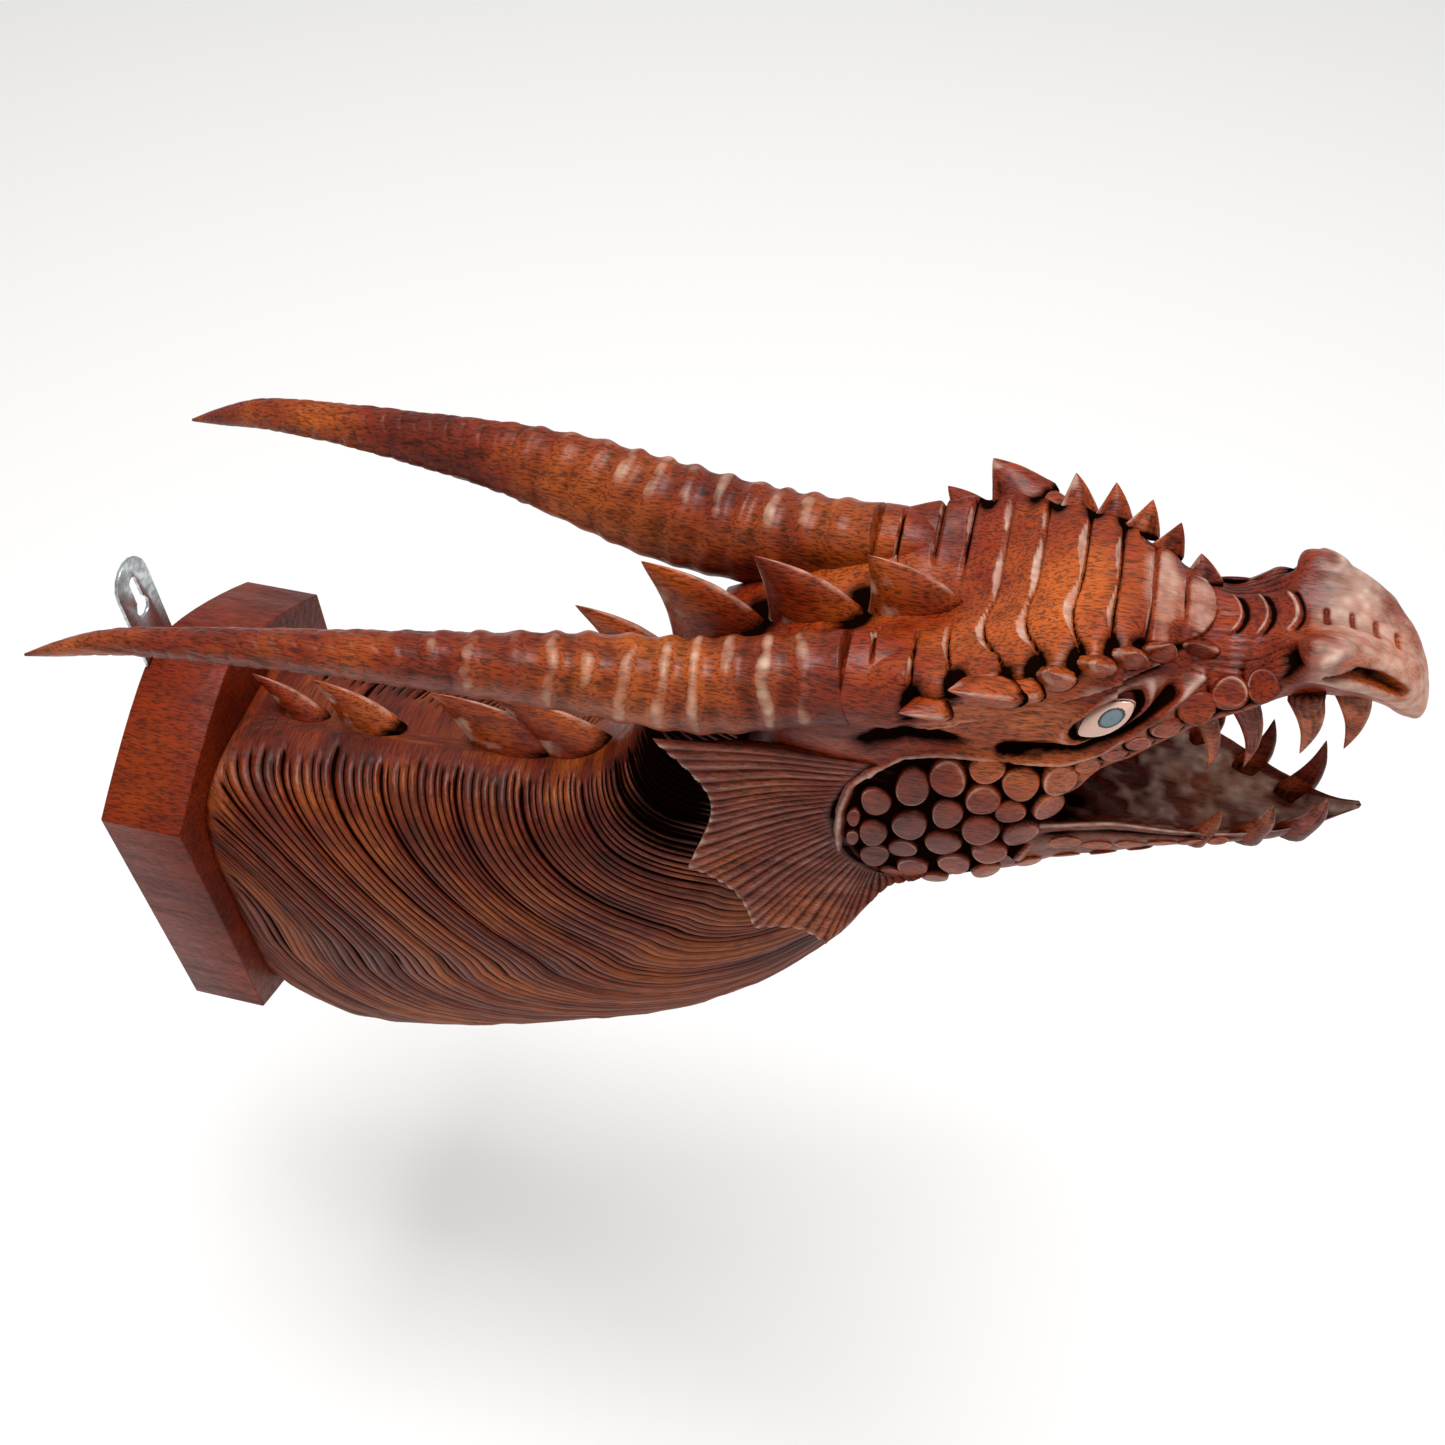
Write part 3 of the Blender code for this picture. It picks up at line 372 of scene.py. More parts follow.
def grid_faces(rows, columns, wrap=False, start=0):
    """Quads of a grid of rows by columns; wrap joins the last column to the first."""
    r, c = np.meshgrid(np.arange(rows - 1), np.arange(columns if wrap else columns - 1), indexing="ij")
    a = start + r * columns + c
    b = start + r * columns + (c + 1) % columns
    return np.stack([a, b, b + columns, a + columns], axis=-1).reshape(-1, 4)


def put(name, data):
    """A new object of that data, linked to the scene."""
    thing = bpy.data.objects.new(name, data)
    bpy.context.scene.collection.objects.link(thing)
    return thing


def make_piece(name, vertices, faces, material, slot, replaced, **layers):
    """A closed mesh piece in metres that rides on the root body and stands for CAD nodes.
    layers are point attributes: one number or three for each vertex."""
    mesh = bpy.data.meshes.new(name)
    corners = [list(dict.fromkeys(f)) for f in faces]
    mesh.from_pydata(np.asarray(vertices).reshape(-1, 3).tolist(), [], corners)
    for layer, values in layers.items():
        values = np.asarray(values, np.float32)
        kind = "FLOAT" if values.ndim == 1 else "FLOAT_VECTOR"
        attribute = mesh.attributes.new(layer, kind, "POINT")
        attribute.data.foreach_set("value" if kind == "FLOAT" else "vector", values.ravel())
    shape = bmesh.new()
    shape.from_mesh(mesh)
    bmesh.ops.remove_doubles(shape, verts=shape.verts, dist=2e-6)
    bmesh.ops.dissolve_degenerate(shape, edges=shape.edges, dist=1e-7)
    bmesh.ops.recalc_face_normals(shape, faces=shape.faces)
    shape.to_mesh(mesh)
    shape.free()
    mesh.shade_smooth()
    mesh.materials.append(material)
    piece = put(name, mesh)
    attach(piece, "root")
    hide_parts(*replaced)


def carve(name, shape, material, slot="carved_wood", node="dragon_carving"):
    """A piece of wood from its (vertices, faces, relief)."""
    vertices, faces, relief = shape
    make_piece(name, vertices, faces, material, slot, [node], relief=relief)


def gather(shapes):
    """Several (vertices, faces, relief) put together as one."""
    vertices, faces, relief, count = [], [], [], 0
    for points, quads, cut in shapes:
        vertices.append(points)
        faces += [[i + count for i in f] for f in quads]
        relief.append(cut)
        count += len(points)
    return np.concatenate(vertices), faces, np.concatenate(relief)


def tube(rings, tip=None):
    """Vertices and faces of rings joined in order, with a fan on the first ring and a fan on
    the last, drawn to the tip where one is given."""
    count = rings.shape[1]
    ends = [rings[0].mean(axis=0), rings[-1].mean(axis=0) if tip is None else tip]
    vertices = np.concatenate([rings.reshape(-1, 3), ends])
    faces = grid_faces(len(rings), count, wrap=True).tolist()
    first, last = len(vertices) - 2, (len(rings) - 1) * count
    faces += [[(c + 1) % count, c, first] for c in range(count)]
    faces += [[last + c, last + (c + 1) % count, first + 1] for c in range(count)]
    return vertices, faces


def closed(rings, tone, end_tones, tip=None):
    """The (vertices, faces, relief) of toned rings in form units, with the tones of its two ends."""
    vertices, faces = tube(place(rings), None if tip is None else place(tip))
    return vertices, faces, np.append(np.clip(tone, 0, 1).ravel(), end_tones)


# Materials

def linear(code):
    """An sRGB hex colour as linear red, green, blue and alpha."""
    parts = [int(code[i:i + 2], 16) / 255 for i in (1, 3, 5)]
    return [p / 12.92 if p <= 0.04045 else ((p + 0.055) / 1.055) ** 2.4 for p in parts] + [1.0]


def hex_of(colour):
    """The hex code of a colour property, which holds linear values."""
    parts = [12.92 * c if c <= 0.0031308 else 1.055 * c ** (1 / 2.4) - 0.055 for c in colour[:3]]
    return "#" + "".join(f"{round(max(0, min(1, p)) * 255):02x}" for p in parts)


def feed(tree, node, feeds):
    """Gives each of the node's sockets a value, or the socket that its value comes from."""
    for key, value in feeds.items():
        if isinstance(value, bpy.types.NodeSocket):
            tree.links.new(value, node.inputs[key])
        else:
            node.inputs[key].default_value = value


def add(tree, kind, feeds=None, **settings):
    """Adds a node with its settings and feeds."""
    node = tree.nodes.new(kind)
    for name, value in settings.items():
        setattr(node, name, value)
    feed(tree, node, feeds or {})
    return node


def new_material(name):
    """An empty material with its shader joined to its output."""
    material = bpy.data.materials.new(name)
    material.use_nodes = True
    tree = material.node_tree
    tree.nodes.clear()
    shader = add(tree, "ShaderNodeBsdfPrincipled")
    add(tree, "ShaderNodeOutputMaterial", {"Surface": shader.outputs["BSDF"]})
    return material, tree, shader


def ramp(tree, factor, *stops):
    """A colour ramp with its (position, colour) stops; a plain number makes a grey."""
    node = add(tree, "ShaderNodeValToRGB", {"Fac": factor})
    elements = node.color_ramp.elements
    while len(elements) < len(stops):
        elements.new(0.5)
    for element, (position, colour) in zip(elements, stops):
        element.position = position
        element.color = colour if isinstance(colour, list) else [colour] * 3 + [1]
    return node.outputs["Color"]


def mixed(tree, factor, a, b, blend="MIX"):
    """Two colours mixed by a factor; sockets 6, 7 and 2 are the mix node's colour ones."""
    feeds = {0: factor, 6: a, 7: b}
    return add(tree, "ShaderNodeMix", feeds, data_type="RGBA", blend_type=blend).outputs[2]


def maths(tree, operation, *values):
    """The result of a maths node on sockets or plain numbers."""
    return add(tree, "ShaderNodeMath", dict(enumerate(values)), operation=operation).outputs[0]


def noise(tree, vector, scale, detail, roughness=0.5):
    """Smooth noise from 0 to 1, that many cells to a metre."""
    feeds = {"Vector": vector, "Scale": scale, "Detail": detail, "Roughness": roughness}
    return add(tree, "ShaderNodeTexNoise", feeds).outputs["Fac"]


def stained_wood(name, dark, mid, light, along="object", fleck=1.0, carved=True, wax="#d9b9a6"):
    """Stained and waxed tropical hardwood, carved by hand. The eye sees a red-brown ground, dark pore flecks
    about 0.7 mm wide and 4 mm long that run with the grain, broad warm and dark patches of stain, and, as
    the relief attribute asks, painted shade that turns cuts near-black and a dusty pinkish painted highlight
    over rubbed, waxed edges."""
    material, tree, shader = new_material(name)
    if along == "object":
        source = add(tree, "ShaderNodeTexCoord").outputs["Object"]
        # Grain runs along Y, from the wall to the beak
        stretch = (1, 0.16, 1)
    else:
        source = add(tree, "ShaderNodeAttribute", attribute_name=along).outputs["Vector"]
        stretch = (1, 0.10, 1)
    stretched = add(tree, "ShaderNodeMapping", {"Vector": source, "Scale": stretch}).outputs[0]
    pores = noise(tree, stretched, 1450, 2)
    streaks = noise(tree, stretched, 210, 4, 0.6)
    patches = noise(tree, source, 17, 3, 0.55)
    base = ramp(tree, patches, (0.24, linear(dark)), (0.48, linear(mid)), (0.70, linear(light)))
    tone = ramp(tree, streaks, (0.30, 0.45), (0.52, 1.0), (0.72, 1.0))
    base = mixed(tree, 0.7, base, tone, "MULTIPLY")
    flecks = ramp(tree, pores, (0.42, 0.10), (0.50, 1.0))
    base = mixed(tree, 0.66 * fleck, base, flecks, "MULTIPLY")
    rough = ramp(tree, streaks, (0.3, 0.50), (0.7, 0.34))
    tools = add(
        tree, "ShaderNodeTexVoronoi", {"Vector": source, "Scale": 260, "Randomness": 1.0},
        feature="SMOOTH_F1",
    ).outputs["Distance"]
    height = maths(tree, "ADD", maths(tree, "ADD", pores, streaks), maths(tree, "MULTIPLY", tools, 1.2))
    if carved:
        # Painted light and shade: the relief attribute is each point's tone, 0 in the deepest cut, 0.5 on
        # plain wood and 1 on a raised edge
        relief = add(tree, "ShaderNodeAttribute", attribute_name="relief").outputs["Fac"]
        ragged = maths(tree, "SUBTRACT", streaks, 0.5)
        edge = maths(tree, "MULTIPLY_ADD", ragged, 0.35, relief)
        # Painted shade: cuts turn near-black, and their reflection is dimmed
        recess_shade = ramp(tree, edge, (0.08, 1.0), (0.44, 0.0))
        base = mixed(tree, recess_shade, base, linear("#0e0402"))
        gloss = maths(tree, "SUBTRACT", 1.0, recess_shade)
        feed(tree, shader, {
            "Specular IOR Level": maths(tree, "MULTIPLY", gloss, 0.22),
            "Coat Weight": maths(tree, "MULTIPLY", gloss, 0.09),
        })
        # Painted highlight: raised edges turn towards a pale pinkish colour over partly rubbed, waxed wood,
        # and gouge facets vary its strength
        rubbed = ramp(tree, edge, (0.62, 0.0), (0.94, 1.0))
        highlight_mask = ramp(tree, tools, (0.10, 1.0), (0.62, 0.45))
        rubbed = maths(tree, "MULTIPLY", maths(tree, "MULTIPLY", rubbed, highlight_mask), 0.72)
        base = mixed(tree, rubbed, base, linear(wax))
    else:
        feed(tree, shader, {"Specular IOR Level": 0.15})
    bump = add(tree, "ShaderNodeBump", {"Height": height, "Strength": 0.55, "Distance": 0.00035})
    feed(tree, shader, {
        "Base Color": base, "Roughness": rough, "Normal": bump.outputs["Normal"],
        "IOR": 1.5, "Coat Roughness": 0.28,
    })
    return material


def painted_eye(name, white, iris):
    """A painted, lacquered eye: pale pinkish ball, blue-grey oval iris, dark outline. The eye
    sees a glossy spot. The attribute "iris" is the distance from its middle, as a share."""
    material, tree, shader = new_material(name)
    share = add(tree, "ShaderNodeAttribute", attribute_name="iris").outputs["Fac"]
    source = add(tree, "ShaderNodeTexCoord").outputs["Object"]
    brush = noise(tree, source, 700, 3)
    line = linear("#2b2422")
    colour = ramp(
        tree, maths(tree, "MULTIPLY_ADD", brush, 0.12, share),
        (0.0, linear("#46595f")), (0.16, linear(iris)), (0.38, linear(iris)), (0.44, line),
        (0.52, line), (0.58, linear(white)), (0.85, linear("#c99582")), (0.96, linear("#2a0d08")),
    )
    feed(tree, shader, {"Base Color": colour, "Roughness": 0.22, "Coat Weight": 0.5})
    return material


def zinc_steel(name):
    """Zinc plated sheet steel. The eye sees a bluish grey metal with cloudy spangles of 3 mm."""
    material, tree, shader = new_material(name)
    source = add(tree, "ShaderNodeTexCoord").outputs["Object"]
    spangle = noise(tree, source, 330, 4)
    colour = ramp(tree, spangle, (0.35, linear("#9aa0a3")), (0.65, linear("#cfd4d6")))
    rough = ramp(tree, spangle, (0.35, 0.42), (0.65, 0.26))
    feed(tree, shader, {"Base Color": colour, "Roughness": rough, "Metallic": 1.0})
    return material


def studio_floor(name, colour):
    """Matt painted studio floor."""
    material, tree, shader = new_material(name)
    feed(tree, shader, {"Base Color": linear(colour), "Roughness": 0.85})
    return material


# Properties

def colour_property(name, description, code):
    return bpy.props.FloatVectorProperty(
        name=name, description=description, subtype="COLOR", size=4, min=0, max=1, default=linear(code)
    )


def length_property(name, description, default, low, high):
    return bpy.props.FloatProperty(
        name=name, description=description, default=default, min=low, max=high,
        subtype="DISTANCE", unit="LENGTH",
    )


class CarvingSizes(bpy.types.PropertyGroup):
    strand_width: length_property(
        "Strand width", "Average width of one strand of the neck's hair",
        0.0038, 0.002, 0.01,
    )
    strand_height: length_property(
        "Strand height", "How far a strand stands over the cuts beside it",
        0.0016, 0, 0.004,
    )
    groove_depth: length_property(
        "Groove depth", "Depth of the gouge cuts between the head's plates",
        0.0028, 0, 0.006,
    )
    ring_spacing: length_property(
        "Horn ring spacing", "Distance from one raised ring of the horn to the next",
        0.0133, 0.005, 0.03,
    )
    ring_height: length_property("Horn ring height", "How far a ring stands over the horn", 0.0009, 0, 0.003)
    arris: length_property("Board arris", "Radius of the board's rubbed edges", 0.0009, 0.0002, 0.004)


class CarvingColours(bpy.types.PropertyGroup):
    dark: colour_property("Dark wood", "The darkest tone of the stain", "#400c03")
    mid: colour_property("Wood", "The main red-brown of the stain", "#862b0a")
    light: colour_property("Light wood", "The orange-brown where the stain is thin", "#bd5a1a")
    board: colour_property("Board wood", "The lighter orange-brown of the board", "#742002")
    eye: colour_property("Eyeball", "The pale painted eye", "#dcb8a6")
    iris: colour_property("Iris", "The blue-grey iris", "#5f757d")


class StageSettings(bpy.types.PropertyGroup):
    azimuth: bpy.props.FloatProperty(
        name="Azimuth", description="Direction the camera stands in, from the front round to the right",
        default=math.radians(-76.31), subtype="ANGLE", unit="ROTATION",
    )
    elevation: bpy.props.FloatProperty(
        name="Elevation", description="Height of the camera over the horizon",
        default=math.radians(51.14), subtype="ANGLE", unit="ROTATION",
    )
    lens: bpy.props.FloatProperty(
        name="Lens", description="Focal length on a 36 mm sensor", default=37.37, min=10, max=200,
    )
    key_power: bpy.props.FloatProperty(
        name="Key light", description="Power of the soft light above", default=56.0, min=0, unit="POWER",
    )
    fill_power: bpy.props.FloatProperty(
        name="Fill light", description="Power of the soft light beside the camera",
        default=2.5, min=0, unit="POWER",
    )
    floor_drop: bpy.props.FloatProperty(
        name="Floor drop", description="How far the floor lies below the carving",
        default=0.35, min=0.01, subtype="DISTANCE", unit="LENGTH",
    )


def settings():
    return bpy.context.scene.carving_sizes, bpy.context.scene.carving_colours


def carved_material(name, shade=1.0, **options):
    """The named wood, made once and then shared. shade scales its stain darker: painted shade on the neck,
    jaw and fins, whose faces turn from the light.
    """
    found = bpy.data.materials.get(name)
    if found:
        return found
    _, colours = settings()
    stains = [hex_of([shade * c for c in stain]) for stain in (colours.dark, colours.mid, colours.light)]
    return stained_wood(name, *stains, **options)


# Surfaces

def neck_surface(s, angle):
    """Neck at s (0 board, 1 head) and angle (0 dorsal line, pi throat line): in each slanted
    section a superellipse whose two reaches are powers 2 / squareness of cosine and sine."""
    row = spline(np.linspace(0, 1, len(NECK)), NECK, np.ravel(s))
    angle = np.ravel(angle)
    power = 2 / row[:, 5]
    along = np.sign(np.cos(angle)) * np.abs(np.cos(angle)) ** power
    across = np.abs(np.sin(angle)) ** power
    middle = (row[:, 0:2] + row[:, 2:4]) / 2
    reach = (row[:, 0:2] - row[:, 2:4]) / 2
    side = middle + reach * along[:, None]
    return np.stack([side[:, 0], row[:, 4] * across, side[:, 1]], axis=1)


def neck_strands(strand_width, strand_height):
    """Neck hair. A strand starts on the dorsal line, or at the board, and runs forward as it goes
    round: s = start + sweep x (angle / pi) ^ power. Across a strand the height is the sine of its
    phase to the power 0.6; seven or so strands make a lock, which has the same form, larger."""
    rng = np.random.default_rng(7)
    count = round((1 + NECK_SWEEP) * STRAND_RUN * FORM / strand_width)
    widths = rng.uniform(0.7, 1.3, count)
    below = round(count * NECK_SWEEP / (1 + NECK_SWEEP))
    edges = np.concatenate([
        -NECK_SWEEP + NECK_SWEEP * np.concatenate([[0], np.cumsum(widths[:below])]) / widths[:below].sum(),
        np.cumsum(widths[below:]) / widths[below:].sum(),
    ])
    phases = np.array([0.0, 0.2, 0.5, 0.8])
    starts = (edges[:-1, None] + np.diff(edges)[:, None] * phases).ravel()
    starts = np.append(starts, edges[-1])
    strand = np.minimum(np.arange(len(starts)) // 4, count - 1)
    phase = np.append(np.tile(phases, count), 0.0)
    lock_ends = np.cumsum(rng.integers(4, 10, count))
    lock = np.searchsorted(lock_ends, strand, side="right")
    lock_start = np.concatenate([[0], lock_ends])[lock]
    lock_size = lock_ends[lock] - lock_start
    lock_phase = (strand - lock_start + phase) / lock_size
    heights = rng.uniform(0.7, 1.25, count)[strand]
    first = math.pi * (np.clip(-starts, 0, None) / NECK_SWEEP) ** (1 / NECK_POWER)
    last = math.pi * (np.clip(1 - starts, 0, NECK_SWEEP) / NECK_SWEEP) ** (1 / NECK_POWER)
    t = np.linspace(0, 1, STRAND_STEPS)
    angle = first[:, None] + (last - first)[:, None] * t
    wave = 0.003 * np.sin(starts[:, None] * 31 + angle * 1.7) * np.sin(math.pi * t) ** 2
    s = np.clip(starts[:, None] + NECK_SWEEP * (angle / math.pi) ** NECK_POWER + wave, 0, 1)
    base = neck_surface(s, angle).reshape(*s.shape, 3)
    middle = neck_surface(s, np.full_like(s, math.pi / 2)).reshape(base.shape) * np.array([1, 0, 1])
    away = base - middle
    away[..., 1] = np.where((angle <= 1e-9) | (angle >= math.pi - 1e-9), 0, away[..., 1])
    away /= np.linalg.norm(away, axis=2, keepdims=True)
    top = 0.05 + 0.14 * rng.random(count)[strand] + 0.12 * ease((starts - 0.35) / 0.4)
    shown = ease((angle - top[:, None]) / 0.08) * ease((math.pi - angle) / 0.05)
    foot = 0.012 * rng.random(count)[strand]
    shown = shown * ease((s - foot[:, None]) / 0.015)
    hair = np.sin(math.pi * phase) ** 0.6 * heights
    body = np.sin(math.pi * np.clip(lock_phase, 0, 1)) ** 0.5
    lift = strand_height / FORM
    ragged = lattice_noise(base, 9.0, 3)
    relief = lift * (hair[:, None] * (1 + 0.35 * ragged) - 0.9) + 1.25 * lift * (body[:, None] - 0.85)
    relief = relief * shown
    deep = bell(lock_phase * lock_size, 0.35) + bell((1 - lock_phase) * lock_size, 0.35)
    relief -= 0.5 * lift * deep[:, None] * shown
    grid = base + away * relief[..., None]
    # Painted highlight with glints on each strand's crest and on the middle of each lock; painted shade
    # between strands, between locks and, deepest, in the hollow behind the fin
    glint = 0.5 + 0.5 * lattice_noise(base, 20.0, 8)
    cut = 0.5 + np.clip((hair[:, None] - 0.66) * 0.9, -0.6, 0.08 + 0.24 * glint) * shown
    cut += (0.16 * (body[:, None] - 0.8) - 0.30 * deep[:, None]) * shown
    across = (base[..., 0] - NECK_HOLLOW[0]) / NECK_HOLLOW[2]
    down = (base[..., 2] - NECK_HOLLOW[1]) / NECK_HOLLOW[3]
    hollow = np.exp(-(across**2 + down**2)) * ease((base[..., 1] - 6) / 14)
    cut -= 0.75 * hollow
    grid = grid - away * (NECK_HOLLOW_DEPTH * hollow)[..., None]
    flow = np.stack([
        np.broadcast_to(starts[:, None] * STRAND_RUN * FORM, s.shape),
        np.broadcast_to(t * STRAND_RUN * FORM, s.shape),
        np.broadcast_to(strand[:, None] * 0.011, s.shape),
    ], axis=-1)
    return starts, grid, cut, flow


def neck_mesh(strand_width, strand_height):
    """Both halves of the neck, welded at the midline, with its two ends closed by fans."""
    starts, grid, cut, flow = neck_strands(strand_width, strand_height)
    rows, columns = grid.shape[:2]
    count = rows * columns
    left = grid * np.array([1, -1, 1])
    vertices = np.concatenate([grid.reshape(-1, 3), left.reshape(-1, 3)])
    quads = grid_faces(rows, columns)
    faces = quads.tolist() + (quads[:, ::-1] + count).tolist()
    foot = [k * columns for k in range(rows) if starts[k] <= 1e-9]
    head = [k * columns + columns - 1 for k in range(rows) if starts[k] + NECK_SWEEP >= 1 - 1e-9]
    relief = np.concatenate([cut.ravel(), cut.ravel()])
    flow = np.concatenate([flow.reshape(-1, 3), flow.reshape(-1, 3) * np.array([-1, 1, 1])])
    for rim in (foot, head):
        centre = len(vertices)
        ends = vertices[[rim[0], rim[-1]]] * np.array([1, 0, 1])
        vertices = np.concatenate([vertices, ends.mean(axis=0, keepdims=True)])
        relief = np.append(relief, 0.5)
        flow = np.concatenate([flow, np.zeros((1, 3))])
        for a, b in zip(rim, rim[1:]):
            faces.append([a, b, centre])
            faces.append([b + count, a + count, centre])
    return place(vertices), faces, relief, flow


def half_sections(stations, sections, at, shares):
    """Half sections at stations u and shares round them, square to the midplane at both ends."""
    rows = spline(stations, sections, at)
    mirror = np.array([-1.0, 1.0])
    closed = np.concatenate([rows[:, 1:2] * mirror, rows, rows[:, -2:-1] * mirror], axis=1)
    knots = np.arange(-1, rows.shape[1] + 1)
    points = np.moveaxis(spline(knots, np.moveaxis(closed, 1, 0), shares * (rows.shape[1] - 1)), 0, 1)
    u = np.broadcast_to(np.asarray(at, float)[:, None, None], points.shape[:2] + (1,))
    return np.concatenate([u, points], axis=2)


def ring_closed(half, shares):
    """Half sections mirrored across the midplane into closed rings, and the shares round them."""
    other = half[:, -2:0:-1] * np.array([1.0, -1.0, 1.0])
    return np.concatenate([half, other], axis=1), np.concatenate([shares, shares[-2:0:-1]])


def crown_relief(u, w):
    """Gouge cuts across the crown. Behind each line a bevel falls over its width as a ramp, and at the line
    it rises straight back. Returns the depth share, and the tone it adds: a pale painted highlight on the
    bevel, dark painted shade in the corner. The line bows as exponentials and hooks by a smooth step."""
    depth = np.zeros(u.shape)
    tone = np.zeros(u.shape)
    for middle, half_width, first, bow, hook, width in CROWN_GROOVES:
        line = middle + hook * ease((w - 22) / 20) - bow * bell(w - 15, 10)
        ahead = line - u
        taper = np.sqrt(ease((half_width - np.abs(w)) / 12))
        taper = taper * (np.sqrt(ease((np.abs(w) - first) / 12)) if first else 1)
        wide = 0.86 * width * (0.35 + 0.65 * taper) * (0.7 + 0.3 * np.cos(w * 0.21 + middle))
        ramped = np.clip(1 - ahead / wide, 0, 1) * ease((ahead + 0.6) / 0.8)
        ramped = ramped * (taper > 0) * ease(taper / 0.2)
        depth = np.maximum(depth, ramped)
        corner = bell(ahead - 0.15, 0.55)
        bevel = ease((ramped - 0.03) / 0.15)
        # Painted highlight on the bevel, painted shade in the corner
        tone += taper * (0.50 * bevel - 1.25 * corner)
    return depth, tone


def almond(u, z):
    """Distance share of (u, z) from the eye's centre, 1 on the eye's outline."""
    a = (u - EYE_CENTRE[0]) * math.cos(EYE_RISE) + (z - EYE_CENTRE[2]) * math.sin(EYE_RISE)
    b = -(u - EYE_CENTRE[0]) * math.sin(EYE_RISE) + (z - EYE_CENTRE[2]) * math.cos(EYE_RISE)
    return (np.abs(a) / 12.2) ** 1.6 + (np.abs(b) / 6.0) ** 1.9


class HeadSkin:
    """The head's points in form units, the masks that its cuts share, and what is carved so far: the relief,
    and the tone of painted shade and highlight, 0 in the deepest cut, 0.5 on plain wood, 1 on a rubbed ridge
    that takes a painted highlight."""

    def __init__(self, grid, share):
        self.grid, self.share = grid, share
        self.u, self.signed, self.z = grid[..., 0], grid[..., 1], grid[..., 2]
        self.w = np.abs(self.signed)
        self.side = ease((self.w - 12) / 8)
        self.upper = ease((self.z - 205) / 6)
        self.flank = self.side * (share > 0.25)
        self.relief = np.zeros(self.u.shape)
        self.tone = np.full(self.u.shape, 0.5)

    def cut(self, height, tone):
        self.relief += height
        self.tone += tone


def carve_crown(skin, groove_depth):
    """The crown's cuts, the leaf over the brow, the bridge's plates and its notches, with painted shade and
    highlight in their tone, and a painted highlight on the upper faces of brow and snout.
    """
    u, w, z, upper = skin.u, skin.w, skin.z, skin.upper
    crown = np.maximum(ease((z - (201 + 0.22 * (u - 300))) / 5), (u < 300) * ease((z - 176) / 5))
    depth, tone = crown_relief(u, skin.signed)
    skin.cut(-groove_depth / FORM * depth * crown, tone * crown)
    leaf = LEAF_HALF_WIDTH * np.sqrt(np.clip(1 - ((u - LEAF_CENTRE) / LEAF_REACH) ** 2, 0, 1))
    inside = ease((leaf - w + 0.8) / 1.6) * (u > LEAF_CENTRE) + (u <= LEAF_CENTRE)
    edge_of = (leaf > 1) * ease((u - LEAF_CENTRE) / 6)
    # Painted highlight inside the leaf, painted shade along its edge
    skin.cut(
        -1.8 * (1 - inside) * upper * ease((402 - u) / 10),
        upper * edge_of * (0.16 * inside - 0.55 * bell(w - leaf - 1.2, 1.1)),
    )
    for edge in BRIDGE_PLATES:
        ahead = edge - 0.04 * w**2 - u
        ramped = np.clip(1 - ahead / 8, 0, 1) * ease((ahead + 0.3) / 0.6) * ease((10.5 - w) / 2.5)
        # Painted highlight along each plate's edge, painted shade just in front of it
        rims = 0.42 * bell(ahead - 0.7, 0.6) - 0.60 * bell(ahead + 1.3, 1.1)
        skin.cut(1.6 * ramped * upper, upper * ease((10.5 - w) / 3) * rims)
    for middle in NOTCHES:
        # Painted shade in the notches
        nick = bell(u - middle, 0.9) * ease((4.5 - np.abs(skin.signed - 1.0)) / 1.5) * upper
        skin.cut(-1.2 * nick, -0.55 * nick)
    # Painted highlight on the upper faces of the brow and snout
    highlight_mask = 0.8 * ease((u - 338) / 22) * ease((389 - u) / 6) + 1.9 * ease((u - 406) / 14)
    cloud = 0.6 + 0.4 * lattice_noise(skin.grid, 13, 17)
    skin.tone += 0.27 * highlight_mask * cloud * np.maximum(upper, ease((u - 410) / 12)) * (skin.share < 0.52)


